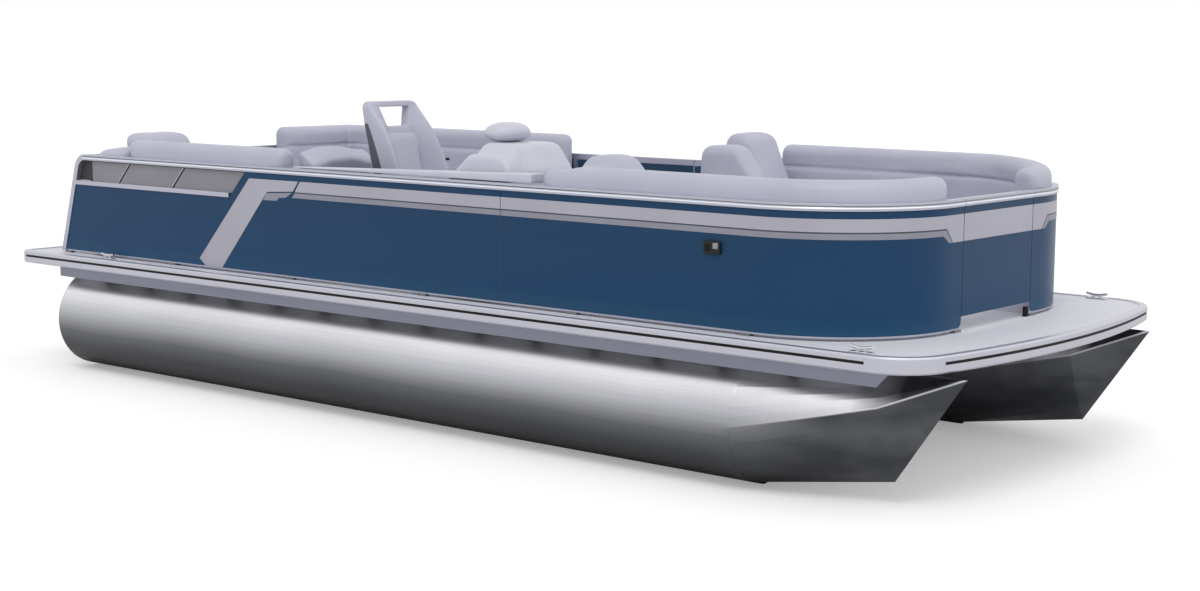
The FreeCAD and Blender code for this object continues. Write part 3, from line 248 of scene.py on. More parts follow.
def painted_panel(name, low, middle, high):
    """Painted sheet whose colour deepens upwards, with a faint orange-peel surface."""
    shader = Shader(name, middle, 0.3, Specular_IOR_Level=0.16, Coat_Weight=0.04,
                    Coat_Roughness=0.10)
    shader.soften(0.002)
    level = shader.spread(shader.along("Z"), 0.0, 1.0, DECK, DECK + FENCE_TOP)
    shade = shader.ramp(level, [(0.0, low), (0.16, middle), (0.9, high)])
    cloud = shader.spread(shader.noise(1.6), 0.0, 0.25)
    shader.to("Base Color", shader.mix(cloud, shade, high))
    shader.rough(14.0, 0.26, 0.38)
    shader.bump(shader.noise(420.0, 1.0), 0.03, FINE)
    return shader.material


def satin_paint(name, color, other, roughness=0.38):
    """Smooth paint or film with faint tone changes."""
    shader = Shader(name, color, roughness)
    shader.soften(0.001)
    shader.mottle(2.5, other, color)
    shader.rough(60.0, roughness - 0.06, roughness + 0.08)
    shader.bump(shader.noise(500.0, 1.0), 0.05, FINE)
    return shader.material


def brushed(name, color, dark, roughness):
    """Metal drawn along its length: fine long streaks in tone, gloss and surface."""
    shader = Shader(name, color, roughness, Metallic=1.0)
    shader.soften(0.003)
    streaks = shader.noise(1.0, 5.0, (2.0, 260.0, 260.0))
    tone = shader.mix(shader.spread(streaks, 0.0, 0.5), color, dark)
    cloud = shader.spread(shader.noise(1.3), 0.0, 0.35)
    shader.to("Base Color", shader.mix(cloud, tone, dark))
    shader.to("Roughness", shader.spread(streaks, roughness - 0.07, roughness + 0.12))
    shader.bump(streaks, 0.08, 2 * FINE)
    return shader.material


# The crease of the tubes' noses rises from the first point, and steeper from the second
CREASE = ((2.3805, 0.3255), (3.1045, 0.4885))
CREASE_SLOPES = (0.2251, 0.4104)
# Painted reflection and shade of the tubes by height: dark at the bottom, a painted highlight band
# near the top
TUBE_PAINTED_LIGHT = [
    (0.06, (0.045, 0.047, 0.052)), (0.26, (0.10, 0.103, 0.112)), (0.42, (0.20, 0.205, 0.222)),
    (0.54, (0.42, 0.425, 0.45)), (0.66, (0.60, 0.605, 0.64)), (0.80, (0.93, 0.935, 0.95)),
    (0.93, (0.72, 0.725, 0.75))]
# Painted shade on the noses below their crease, in cloudy patches
NOSE_PAINTED_SHADE = [(0.38, (0.085, 0.088, 0.098)), (0.62, (0.15, 0.155, 0.17))]
# Painted shadow of the deck on the noses above their crease, near the tip
TIP_PAINTED_SHADOW = (0.045, 0.047, 0.056)


def tube_metal(name):
    """Brushed aluminium of the tubes with painted reflection and shade: bright above, dark towards
    the waterline, and a little lighter where it faces up. The nose has painted shade below its
    crease, and a painted shadow of the deck above it towards the tip."""
    shader = Shader(name, (0.7, 0.7, 0.72), 0.34, Metallic=1.0)
    shader.soften(0.004)
    # Painted reflection and shade: the tone follows height, and a little how far the surface faces
    # up
    rise = shader.spread(shader.along("Z"), 0.0, 0.90, 0.0, TUBE_TOP)
    level = shader.math("MULTIPLY_ADD", shader.facing(), 0.10, rise)
    wave = shader.spread(shader.noise(0.8), -0.05, 0.05)
    tone = shader.ramp(shader.math("ADD", level, wave), TUBE_PAINTED_LIGHT)
    cloud = shader.ramp(shader.noise(3.2, 2.0, (0.6, 1.0, 1.6)), NOSE_PAINTED_SHADE)
    along, height = shader.along("X"), shader.along("Z")
    lines = []
    for (x, z), slope in zip(CREASE, CREASE_SLOPES):
        line = shader.math("MULTIPLY_ADD", along, -slope, height)
        lines.append(shader.math("SUBTRACT", line, z - slope * x))
    over = shader.math("MINIMUM", *lines)
    (start, _), (turn, _) = CREASE
    # Painted shade below the crease, fading in along the nose
    below = shader.math("MULTIPLY", shader.spread(over, 1.0, 0.0, -0.006, 0.002),
                        shader.spread(along, 0.0, 1.0, start - 0.15, start + 0.50))
    # Painted shadow of the deck above the crease, towards the tip
    tip = shader.math("MULTIPLY", shader.spread(over, 0.0, 1.0, 0.000, 0.008),
                      shader.spread(along, 0.0, 1.0, turn - 0.12, turn + 0.10))
    tone = shader.mix(tip, shader.mix(below, tone, cloud), TIP_PAINTED_SHADOW)
    streaks = shader.noise(1.0, 5.0, (1.5, 240.0, 240.0))
    share = shader.spread(streaks, 0.0, 0.3)
    shader.to("Base Color", shader.mix(share, tone, (0.3, 0.3, 0.32), "MULTIPLY"))
    shader.to("Roughness", shader.spread(streaks, 0.28, 0.46))
    shader.bump(streaks, 0.06, 2 * FINE)
    return shader.material


def moulded(name, color, other, roughness, sheen=0.5, grain=900.0, depth=FINE):
    """Moulded plastic or rubber with a pebbled surface."""
    shader = Shader(name, color, roughness, Specular_IOR_Level=sheen)
    shader.soften(0.004)
    shader.mottle(6.0, other, color, (0.3, 0.7))
    shader.rough(30.0, roughness - 0.08, roughness + 0.08)
    shader.bump(shader.noise(grain, 2.0), 0.3, depth)
    return shader.material


def deck_covering(name, color, other):
    """Pale woven deck vinyl: a fine cross weave under light scuffs."""
    shader = Shader(name, color, 0.6)
    waves = []
    for axis in "XY":
        wave = shader.node("TexWave", wave_type="BANDS", bands_direction=axis, Scale=180.0)
        shader.link(shader.place(), wave.inputs["Vector"])
        waves.append(wave.outputs["Fac"])
    fleck = shader.ramp(shader.noise(260.0, 2.0), [(0.38, other), (0.6, color)])
    scuffs = shader.spread(shader.noise(2.2, 5.0), 0.0, 0.3)
    shader.to("Base Color", shader.mix(scuffs, fleck, other))
    shader.rough(9.0, 0.5, 0.7)
    shader.bump(shader.math("MULTIPLY", *waves), 0.25, 0.0006)
    return shader.material


def lens_glass(name):
    shader = Shader(name, (0.9, 0.92, 0.95), 0.08, Transmission_Weight=0.7)
    shader.rough(30.0, 0.05, 0.14)
    shader.bump(shader.noise(120.0, 1.0), 0.1, 2 * FINE)
    return shader.material


FINISHES = {
    "tube_aluminium": (tube_metal,),
    "mill_aluminium": (brushed, (0.30, 0.30, 0.32), (0.18, 0.18, 0.19), 0.45),
    "rail_aluminium": (brushed, (0.66, 0.66, 0.73), (0.48, 0.48, 0.54), 0.4),
    "skirt": (brushed, (0.29, 0.30, 0.37), (0.20, 0.21, 0.26), 0.42),
    "fence_rail": (brushed, (0.56, 0.565, 0.65), (0.46, 0.465, 0.54), 0.4),
    # Bright metal of the gauge rims, also of the rail's bead, which is a painted highlight
    "bright_trim": (brushed, (0.88, 0.92, 1.0), (0.80, 0.84, 0.92), 0.3),
    "satin_metal": (brushed, (0.5, 0.5, 0.52), (0.36, 0.36, 0.38), 0.3),
    "cleat_metal": (brushed, (0.75, 0.75, 0.78), (0.55, 0.55, 0.58), 0.18),
    "deck_vinyl": (deck_covering, (0.80, 0.80, 0.85), (0.71, 0.71, 0.76)),
    "black_insert": (moulded, (0.012, 0.012, 0.016), (0.022, 0.018, 0.017), 0.45, 0.10),
    "black_rubber": (moulded, (0.010, 0.010, 0.011), (0.018, 0.018, 0.018), 0.6, 0.10),
    "dark_plastic": (moulded, (0.012, 0.012, 0.014), (0.02, 0.02, 0.022), 0.4, 0.25),
    "pale_plastic": (moulded, (0.62, 0.625, 0.71), (0.58, 0.585, 0.67), 0.42, 0.5, 260.0, 0.0006),
    "wheel_grip": (moulded, (0.03, 0.03, 0.034), (0.045, 0.045, 0.05), 0.5, 0.5, 500.0, 0.0006),
    "pale_panel": (satin_paint, (0.265, 0.255, 0.29), (0.235, 0.225, 0.26)),
    "navy": (satin_paint, (0.006, 0.045, 0.100), (0.008, 0.040, 0.090), 0.3),
    "silver": (satin_paint, (0.44, 0.435, 0.505), (0.41, 0.405, 0.47)),
    "grey": (satin_paint, (0.275, 0.28, 0.34), (0.255, 0.26, 0.315)),
    # Dark print and seam lines, also the rail's dark line, which is painted shade
    "dark_line": (satin_paint, (0.05, 0.05, 0.065), (0.04, 0.045, 0.06)),
    # A dark line with a warm tint: painted shade and a painted warm reflection
    "bronze_line": (satin_paint, (0.20, 0.15, 0.14), (0.15, 0.13, 0.14)),
    # Black sheets set where there is only shade: painted shade
    "liner": (satin_paint, (0.018, 0.018, 0.022), (0.028, 0.026, 0.030), 0.5),
    "dial": (satin_paint, (0.015, 0.016, 0.02), (0.02, 0.02, 0.025), 0.3),
    "dial_marks": (satin_paint, (0.75, 0.76, 0.78), (0.7, 0.71, 0.73), 0.4),
    "blue_panel": (painted_panel, (0.020, 0.085, 0.170), (0.009, 0.055, 0.138),
                   (0.012, 0.050, 0.118)),
    "seat_vinyl": (vinyl, (0.515, 0.52, 0.625), (0.48, 0.485, 0.585)),
    "seat_shade": (vinyl, (0.10, 0.095, 0.13), (0.08, 0.08, 0.11)),
    "lens": (lens_glass,),
}
MATERIALS = {name: build(name + "_finish", *values) for name, (build, *values) in FINISHES.items()}


def finish_nodes():
    """Gives every carried-over node the finish of its slot, and the skirts their own."""
    slots = {row["node"]: row["material_slot"] for row in frame["record"]["subparts"]}
    for name, piece in frame["nodes"].items():
        piece.data.materials.clear()
        finish = "skirt" if name.startswith("skirt") else slots[name]
        piece.data.materials.append(MATERIALS[finish])


# Mesh helpers

def add_object(name, data, body, material):
    """A piece of a body. A slotted one has its material's name as its slot."""
    piece = bpy.data.objects.new(name, data)
    bpy.context.scene.collection.objects.link(piece)
    data.materials.append(MATERIALS[material])
    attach(piece, body)
    return piece


def mesh_of(name, made, smooth=False):
    """The mesh of a bmesh, with its faces turned outwards."""
    bmesh.ops.recalc_face_normals(made, faces=made.faces)
    mesh = bpy.data.meshes.new(name)
    made.to_mesh(mesh)
    made.free()
    if smooth:
        mesh.shade_smooth()
    return mesh


def mesh_from(name, points, faces, smooth=True):
    """A mesh of points and faces, without the points that no face uses."""
    rough = bpy.data.meshes.new(name)
    rough.from_pydata([tuple(p) for p in points], [], faces)
    rough.validate()
    made = bmesh.new()
    made.from_mesh(rough)
    bpy.data.meshes.remove(rough)
    bmesh.ops.delete(made, geom=[v for v in made.verts if not v.link_faces], context="VERTS")
    return mesh_of(name, made, smooth)


def rounded_outline(corners, spacing=0.024):
    """A closed outline with rounded corners, cut into short steps. A corner is (x, y, radius)
    or (x, y, radius, kind), where kind names the straight edge after it. Returns (x, y, kind)."""
    count = len(corners)
    places = [Vector((c[0], c[1])) for c in corners]
    kinds = [c[3] if len(c) > 3 else "free" for c in corners]
    arcs = []
    for i, here in enumerate(places):
        back, ahead = places[i - 1] - here, places[(i + 1) % count] - here
        radius = corners[i][2]
        angle = back.angle(ahead)
        if radius <= 0 or angle > math.pi - 0.02:
            arcs.append([here])
            continue
        step = min(radius / math.tan(angle / 2), 0.49 * back.length, 0.49 * ahead.length)
        radius = step * math.tan(angle / 2)
        start, stop = here + back.normalized() * step, here + ahead.normalized() * step
        middle = (back.normalized() + ahead.normalized()).normalized()
        centre = here + middle * (radius / math.sin(angle / 2))
        steps = max(2, round(radius * (math.pi - angle) / spacing))
        first = start - centre
        turn = first.angle_signed(stop - centre)
        arcs.append([centre + Matrix.Rotation(-turn * k / steps, 2) @ first
                     for k in range(steps + 1)])
    outline = []
    for i, arc in enumerate(arcs):
        outline += [(p.x, p.y, kinds[i - 1] if kinds[i - 1] == kinds[i] else "free")
                    for p in arc]
        start, stop = arc[-1], arcs[(i + 1) % count][0]
        steps = max(1, round((stop - start).length / spacing))
        outline += [(*start.lerp(stop, k / steps), kinds[i]) for k in range(1, steps)]
    return outline


def inset_outline(outline, inset):
    """The outline drawn towards its middle by a distance."""
    xs, ys = [p[0] for p in outline], [p[1] for p in outline]
    mid = Vector(((min(xs) + max(xs)) / 2, (min(ys) + max(ys)) / 2))
    half = Vector(((max(xs) - min(xs)) / 2, (max(ys) - min(ys)) / 2))
    share = Vector((max(0.02, 1 - inset / half.x), max(0.02, 1 - inset / half.y)))
    return [(mid.x + (x - mid.x) * share.x, mid.y + (y - mid.y) * share.y, kind)
            for x, y, kind in outline]


SEAM_WIDTH = 0.009


def even_steps(start, stop, spacing, marks=()):
    """Places from start to stop about one spacing apart, with a tight pair round each mark."""
    fixed = sorted([start, stop] + [m + d for m in marks for d in (-SEAM_WIDTH, 0, SEAM_WIDTH)])
    places = []
    for low, high in zip(fixed, fixed[1:]):
        steps = max(1, round((high - low) / spacing))
        places += [low + (high - low) * k / steps for k in range(steps)]
    return places + [stop]


def smooth_step(value, start, stop):
    share = min(1.0, max(0.0, (value - start) / (stop - start)))
    return share * share * (3 - 2 * share)


def between(value, table):
    """Reads a table of (value, result) along straight lines."""
    for (low, first), (high, last) in zip(table, table[1:]):
        if value <= high:
            return first + (last - first) * max(0.0, value - low) / (high - low)
    return table[-1][1]


# Soft goods. A pad is a closed skin through rings of one section. Its seams and the sides that
# rest on something are held while air pressure swells the rest.

PADS = []
SMOOTHED = []
END_STEPS = 4
END_SHARES = (0.3, 0.6, 0.85)
SEAM_DEPTH = 0.007
SEAM_REACH = 0.030


def pad(name, body, outline, start, stop, place, end_round=0.035, seams=(), shape=None,
        spacing=0.024, swell=0.012, replaces=(), fill=0.7, slot="seat_vinyl", seam_lines=()):
    """A stuffed piece, or a hard shell where fill is None. place(run, x, y) puts a point of the
    section at a station, and shape(run, outline) may change the section along the way. seams
    are stations of sewn channels across it, and seam_lines are sewn lines along it, as places
    on the outline."""
    rings, kinds = [], []
    columns = {nearest(outline, line) for line in seam_lines}

    def ring(run, inset, sewn=False):
        section = shape(run, outline) if shape else outline
        if inset > 0:
            section = inset_outline(section, inset)
        rings.append([place(run, x, y) for x, y, kind in section])
        kinds.extend("seam" if sewn or c in columns else kind
                     for c, (x, y, kind) in enumerate(section))

    thin = min(max(p[i] for p in outline) - min(p[i] for p in outline) for i in (0, 1)) / 2
    insets = [end_round + (thin - end_round) * share for share in END_SHARES]
    turns = [math.pi / 2 * k / END_STEPS for k in range(1, END_STEPS + 1)]
    ends = [(end_round * (1 - math.sin(turn)), end_round * (1 - math.cos(turn))) for turn in turns]
    for inset in reversed(insets):
        ring(start, inset)
    for along, inset in reversed(ends):
        ring(start + along, inset)
    for run in even_steps(start + end_round, stop - end_round, spacing, seams):
        sewn = any(abs(run - seam) < 1e-6 for seam in seams)
        ring(run, SEAM_DEPTH if sewn else 0.0, sewn)
    for along, inset in ends:
        ring(stop - along, inset)
    for inset in insets:
        ring(stop, inset)
    mesh = skin(name, rings)
    mark_seams(mesh, [i for i, kind in enumerate(kinds) if kind == "seam"])
    piece = add_object(name, mesh, body, slot)
    if replaces:
        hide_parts(*replaces)
    if fill is None:
        SMOOTHED.append((piece, 1))
        return
    held = [i for i, kind in enumerate(kinds) if kind != "free"]
    piece.vertex_groups.new(name="held").add(held, 1.0, "REPLACE")
    PADS.append((piece, swell))


def nearest(outline, place):
    return min(range(len(outline)), key=lambda i: (outline[i][0] - place[0]) ** 2
               + (outline[i][1] - place[1]) ** 2)


def skin(name, rings):
    """A closed mesh through rings of points, with a fan of faces over each end."""
    count = len(rings[0])
    points = [p for ring in rings for p in ring]
    faces = []
    for r in range(len(rings) - 1):
        for c in range(count):
            after = (c + 1) % count
            faces.append((r * count + c, r * count + after, (r + 1) * count + after,
                          (r + 1) * count + c))
    for r, order in ((0, -1), (len(rings) - 1, 1)):
        points.append(sum(rings[r], Vector()) / count)
        for c in range(count):
            edge = (r * count + c, r * count + (c + 1) % count)
            faces.append((*edge[::order], len(points) - 1))
    return mesh_from(name, points, faces)


def mark_seams(mesh, sewn):
    """Stores how near each point lies to a seam."""
    made = bmesh.new()
    made.from_mesh(mesh)
    made.verts.ensure_lookup_table()
    front = {i: 0.0 for i in sewn}
    edge = list(sewn)
    while edge:
        reached = []
        for i in edge:
            for link in made.verts[i].link_edges:
                other = link.other_vert(made.verts[i]).index
                far = front[i] + link.calc_length()
                if far < SEAM_REACH and far < front.get(other, SEAM_REACH):
                    front[other] = far
                    reached.append(other)
        edge = reached
    made.free()
    values = [0.0] * len(mesh.vertices)
    for i, far in front.items():
        values[i] = 1 - far / SEAM_REACH
    mesh.attributes.new("seam", "FLOAT", "POINT").data.foreach_set("value", values)


CLOTH_FRAMES = 20
CLOTH_SETTINGS = {
    "quality": 4, "mass": 0.3, "tension_stiffness": 12, "compression_stiffness": 12,
    "shear_stiffness": 6, "bending_stiffness": 0.6, "use_pressure": True,
    "uniform_pressure_force": 4.0, "vertex_group_mass": "held"}


def swell_pads():
    """Blows every pad up a little by cloth simulation and keeps the result as its mesh."""
    for piece, swell in PADS:
        cloth = piece.modifiers.new("swell", "CLOTH")
        for name, value in CLOTH_SETTINGS.items():
            setattr(cloth.settings, name, value)
        cloth.settings.effector_weights.gravity = 0
        cloth.collision_settings.use_collision = False
        cloth.point_cache.frame_end = CLOTH_FRAMES
    scene = bpy.context.scene
    for step in range(1, CLOTH_FRAMES + 1):
        scene.frame_set(step)
    graph = bpy.context.evaluated_depsgraph_get()
    for piece, swell in PADS:
        swollen = [v.co.copy() for v in piece.evaluated_get(graph).data.vertices]
        for vertex, there in zip(piece.data.vertices, swollen):
            way = there - vertex.co
            if way.length > swell:
                way *= swell / way.length
            vertex.co += way
    for piece, swell in PADS:
        piece.modifiers.remove(piece.modifiers["swell"])
    scene.frame_set(1)


def smooth_pads():
    for piece, levels in [(piece, 1) for piece, swell in PADS] + SMOOTHED:
        smooth = piece.modifiers.new("smooth", "SUBSURF")
        smooth.levels = smooth.render_levels = levels


# Depths inside the fence's outer face, and heights above the deck, of the lounges' pieces
BACK_NEAR, BACK_THICK = 0.040, 0.136
BACK_SEAM_IN, BACK_SEAM_DROP = 0.016, 0.132
SEAT_NEAR, SEAT_FAR = 0.186, 0.662
SEAT_FLOOR, SEAT_TOP = 0.291, 0.424
SEAT_SEAM = (SEAT_FAR - 0.09, SEAT_TOP)
CHAISE_FLOOR = reach("bow_chaise_port")[0][2] + 0.002


def back_pad(name, node, start, stop, foot, top, place, near=BACK_NEAR, shape=None):
    """A backrest with an upright outer side, a rounded bolster and a sewn inner panel."""
    far = near + BACK_THICK
    seam = (far - BACK_SEAM_IN, top - BACK_SEAM_DROP)
    outline = rounded_outline([
        (near, foot, 0.012), (near, top, 0.055), (far, top, 0.060),
        (far - 0.004, top - 0.120, 0.02), (*seam, 0.0), (far - 0.006, top - 0.150, 0.02),
        (far - 0.010, foot, 0.012, "rest")])
    pad(name, "hull", outline, start, stop, place, end_round=0.045, shape=shape, replaces=[node],
        fill=0.8, seam_lines=[seam], swell=0.006)


def seat_pad(name, body, node, side, span=None, seam=None):
    """A seat cushion with a sewn line along its front edge and one seam across."""
    start, stop = span or (corner[0] for corner in reach(node))
    outline = rounded_outline([
        (SEAT_NEAR, SEAT_FLOOR, 0.012), (SEAT_NEAR, SEAT_TOP, 0.022),
        (SEAT_FAR, SEAT_TOP, 0.050), (SEAT_FAR, SEAT_FLOOR, 0.020, "rest")])
    pad(name, body, outline, start, stop, beside(side), replaces=[node],
        seam_lines=[SEAT_SEAM], seams=[seam or (start + stop) / 2])


def bow_lounges():
    """Along each side and round the bend: a backrest and two seat cushions, one on the lid."""
    for side, word in SIDES:
        node = "bow_lounge_back_" + word
        (start, _, foot), (_, _, top) = reach(node)
        start -= 0.075 if side == PORT else 0.0
        top += 0.020 if side == PORT else -0.006
        stop = BEND_END + BEND_Y - 0.430

        def dipped(run, section, side=side, start=start, foot=foot, top=top):
            """The crest falls a little towards starboard's aft end and port's forward end."""
            dip = 0.022 * (1 - smooth_step(run, start, start + 0.5))
            if side == PORT:
                dip = 0.030 * smooth_step(run, BEND_X, BEND_X + 0.9 * BEND_RUN)
            return [(x, y - dip * (y - foot) / (top - foot), kind) for x, y, kind in section]

        back_pad("bow_back_" + word, node, start, stop, foot, top, beside(side), shape=dipped)
        corner = "bow_lounge_corner_" + word
        seat_pad("bow_corner_seat_" + word, "hull", corner, side,
                 (reach(corner)[0][0] + 0.002, stop), BEND_X + BEND_RUN / 2)
        seat_pad("bow_seat_" + word, "bow_lid_" + word, "bow_lounge_lid_" + word, side)


def outer_dip(run, section):
    """The outer part of the crest lies lower than the head cushion."""
    dip = 0.060 * smooth_step(run, 0.76, 0.85)
    return [(x, z - dip * smooth_step(z, 0.55, 0.80), kind) for x, z, kind in section]


def crown(run, section):
    """The end rest's flat top falls a little towards both ends."""
    rise = 0.030 * (smooth_step(run, 0.50, 0.74) - 0.9 * smooth_step(run, 0.84, 1.0))
    return [(x, z + rise * smooth_step(z, 0.45, 0.66), kind) for x, z, kind in section]


# The reclined rests at the lounges' aft ends, and the small pads beside them: name, side, reach
# across the boat, corners of the section as (x, z, radius), and what else pad() takes
RESTS = (
    ("bow_rest_port", PORT, (0.600, 0.910), [
        (4.695, CHAISE_FLOOR, 0.03), (4.500, CHAISE_FLOOR, 0.03), (4.290, 0.780, 0.06),
        (4.325, 0.852, 0.05), (4.460, 0.852, 0.07), (4.620, 0.520, 0.06)],
     {"replaces": ["bow_chaise_port"]}),
    ("bow_rest_roll_port", PORT, (0.445, 0.594), [
        (4.700, CHAISE_FLOOR, 0.03), (4.460, CHAISE_FLOOR, 0.03), (4.225, 0.600, 0.06),
        (4.240, 0.790, 0.07), (4.505, 0.797, 0.08), (4.650, 0.620, 0.06)], {}),
    ("bow_rest_starboard", STARBOARD, (0.575, 0.966), [
        (4.845, CHAISE_FLOOR, 0.03), (4.660, CHAISE_FLOOR, 0.03), (4.395, 0.745, 0.07),
        (4.430, 0.790, 0.06), (4.600, 0.790, 0.10), (4.710, 0.680, 0.08)],
     {"replaces": ["bow_chaise_starboard"], "shape": outer_dip}),
    ("stern_rest_starboard", STARBOARD, (0.610, 0.967), [
        (1.112, CHAISE_FLOOR, 0.03), (0.900, CHAISE_FLOOR, 0.03), (0.690, 0.740, 0.06),
        (0.715, 0.780, 0.05), (0.930, 0.780, 0.08)],
     {"replaces": ["stern_chaise_starboard"], "seams": [0.79]}),
    ("stern_end_rest", STARBOARD, (0.480, 0.998), [
        (2.392, 0.002, 0.015), (2.392, 0.722, 0.03), (2.420, 0.735, 0.025),
        (2.548, 0.664, 0.022), (2.530, 0.610, 0.03), (2.500, 0.580, 0.03),
        (2.500, 0.002, 0.015)], {"shape": crown, "end_round": 0.025}),
)


def chaise_pads():
    for name, side, span, corners, more in RESTS:
        pad(name, "hull", rounded_outline(corners), *span, across(side),
            **{"end_round": 0.05, "fill": 0.8, "swell": 0.006, **more})
    far = BACK_NEAR + BACK_THICK
    pad("stern_corner_rest", "hull", rounded_outline([
        (BACK_NEAR, CHAISE_FLOOR, 0.012), (BACK_NEAR, 0.690, 0.05), (far, 0.690, 0.05),
        (far, CHAISE_FLOOR, 0.012)]), 0.602, 0.924,
        lambda run, x, y: along_fence(STARBOARD, run, x, y + (run - 0.76) * 0.16 * y),
        end_round=0.04, fill=0.8, swell=0.004)


STERN_BEND = 0.16
TOP_DROP = 0.006


def stern_lounges():
    """The starboard lounge, and the port one, whose back turns the corner in one piece."""
    node = "stern_lounge_back_starboard"
    (start, _, foot), (stop, _, top) = reach(node)
    back_pad("stern_back_starboard", node, start, stop, foot, top - TOP_DROP, beside(STARBOARD))
    for side, word in reversed(SIDES):
        seat_pad("stern_seat_" + word, "stern_lid_" + word, "stern_lounge_lid_" + word, side)
    (rear, inner, foot), (stop, wide, top) = reach("stern_lounge_back_port")
    first = wide - STERN_BEND - inner
    turned = first + STERN_BEND * math.pi / 2

    def round_corner(run, x, y):
        if run < first:
            return ship(rear + x, inner + run, y)
        if run < turned:
            turn = (run - first) / STERN_BEND
            return ship(rear + STERN_BEND - (STERN_BEND - x) * math.cos(turn),
                        wide - STERN_BEND + (STERN_BEND - x) * math.sin(turn), y)
        return ship(rear + STERN_BEND + run - turned, wide - x, y)

    back_pad("stern_back_port", "stern_lounge_back_port", 0.0, turned + stop - rear - STERN_BEND,
             foot, top - TOP_DROP, round_corner, near=0.004)
    (near, low, _), (far, high, _) = reach("stern_lounge_corner_port")
    near, far = near + 0.004, far - 0.004
    pad("stern_corner_seat_port", "hull", rounded_outline([
        (near, SEAT_FLOOR, 0.012), (near, SEAT_TOP, 0.022), (far, SEAT_TOP, 0.040),
        (far, SEAT_FLOOR, 0.020, "rest")]), low + 0.003, high - 0.003, across(),
        replaces=["stern_lounge_corner_port"], seams=[(low + high) / 2])


# The helm chair's back by height: thickness of its plate, how far its wings reach forward, the
# outer sides' depth, and half the width of the back and of its opening
BACK_PLATE = 0.062
BACK_WING = [(0.49, 0.165), (0.64, 0.152), (0.69, 0.145), (0.79, 0.130), (0.89, 0.082),
             (0.95, 0.035), (0.995, 0.004), (1.03, 0.0)]
BACK_SIDE = [(0.49, 0.086), (0.69, 0.068), (0.80, 0.042), (0.90, 0.012), (0.94, 0.026),
             (0.98, 0.040), (1.03, 0.046)]
BACK_HALF = [(0.49, 0.230), (0.98, 0.204), (1.008, 0.196), (1.022, 0.182), (1.03, 0.160)]
HOLE_HALF = [(0.49, 0.118), (0.80, 0.098), (0.884, 0.078), (0.994, 0.117), (1.03, 0.110)]
HOLE_ROWS = (0.884, 0.994)
HOLE_COLUMNS = 3
DARK_TOP = 0.90
BACK_ROWS = [0.52, 0.60, 0.68, 0.76, 0.83, 0.870, 0.884, 0.896, 0.94, 0.982, 0.994, 1.003, 1.018,
             1.029]


def helm_chair():
    """The helm chair: a crowned seat, and a winged back with an opening and a middle cushion."""
    (aft, low, floor), (bow, high, top) = reach("chair_seat")
    rear_foot = aft
    aft, bow, floor, top = aft + 0.005, bow - 0.006, floor + 0.002, top - 0.008
    pad("chair_seat_pad", "chair", rounded_outline([
        (aft, floor, 0.015), (aft, top, 0.03), (bow, top, 0.055), (bow, floor, 0.03, "rest")]),
        low + 0.004, high - 0.004, across(), replaces=["chair_seat"], fill=0.75,
        seams=[low + 0.11, high - 0.11], end_round=0.045)
    helm_back(rear_foot)


def helm_back(rear_foot):
    """The chair's back as one thick sheet whose sides reach forward as wings."""
    (rear_top, low, foot), (_, high, top) = reach("chair_back")
    centre = (low + high) / 2
    heights = [foot + 0.002] + BACK_ROWS

    def rear(height):
        return rear_foot + (rear_top - rear_foot) * (height - foot) / (top - foot)

    def front(height, off, half):
        if abs(off) == half:
            return rear(height) + between(height, BACK_SIDE)
        wing = between(height, BACK_WING) * smooth_step(abs(off) / half, 0.45, 0.93)
        return rear(height) + BACK_PLATE + wing

    layers = ([], [])
    for height in heights:
        half, hole = between(height, BACK_HALF), between(height, HOLE_HALF)
        side = [hole * 0.5, hole - 0.010, hole, hole + 0.012, (hole + half) / 2, half - 0.030,
                half - 0.006, half]
        offs = [-off for off in reversed(side)] + [0.0] + side
        layers[0].extend(ship(front(height, off, half), centre + off, height) for off in offs)
        layers[1].extend(ship(rear(height), centre + off, height) for off in offs)
    wide, shift, middle = len(offs), len(layers[0]), len(offs) // 2
    hole_rows = [r for r, height in enumerate(heights)
                 if HOLE_ROWS[0] - 1e-6 <= height < HOLE_ROWS[1] - 1e-6]
    faces, edges, dark = [], {}, []
    for r in range(len(heights) - 1):
        for c in range(wide - 1):
            if r in hole_rows and middle - HOLE_COLUMNS <= c < middle + HOLE_COLUMNS:
                continue
            loop = [r * wide + c, r * wide + c + 1, (r + 1) * wide + c + 1, (r + 1) * wide + c]
            faces.append(tuple(loop))
            faces.append(tuple(i + shift for i in reversed(loop)))
            edges.update(dict.fromkeys(zip(loop, loop[1:] + loop[:1])))
    for a, b in edges:
        if (b, a) not in edges:
            outer = {a % wide, b % wide} <= {0, wide - 1}
            if outer and max(heights[a // wide], heights[b // wide]) < DARK_TOP:
                dark.append(len(faces))
            faces.append((b, a, a + shift, b + shift))
    mesh = mesh_from("chair_back_shell", layers[0] + layers[1], faces)
    piece = add_object("chair_back_shell", mesh, "chair", "seat_vinyl")
    mesh.materials.append(MATERIALS["seat_shade"])
    for index in dark:
        mesh.polygons[index].material_index = 1
    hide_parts("chair_back")
    SMOOTHED.append((piece, 2))
    low, high = rear(0.50) + BACK_PLATE, rear(0.85) + BACK_PLATE
    pad("chair_back_cushion", "chair", rounded_outline([
        (low - 0.006, 0.500, 0.012), (high - 0.006, 0.852, 0.012), (high + 0.022, 0.846, 0.020),
        (low + 0.030, 0.500, 0.020)], 0.022), centre - 0.106, centre + 0.118, across(),
        end_round=0.022, swell=0.006)
    knob = ship(rear(0.69) + BACK_PLATE + 0.130, centre + 0.215, 0.688)
    rod("chair_knob", "chair", [knob, knob + Vector((0.022, 0, 0))], 0.008, "dark_plastic")


# Hard trim

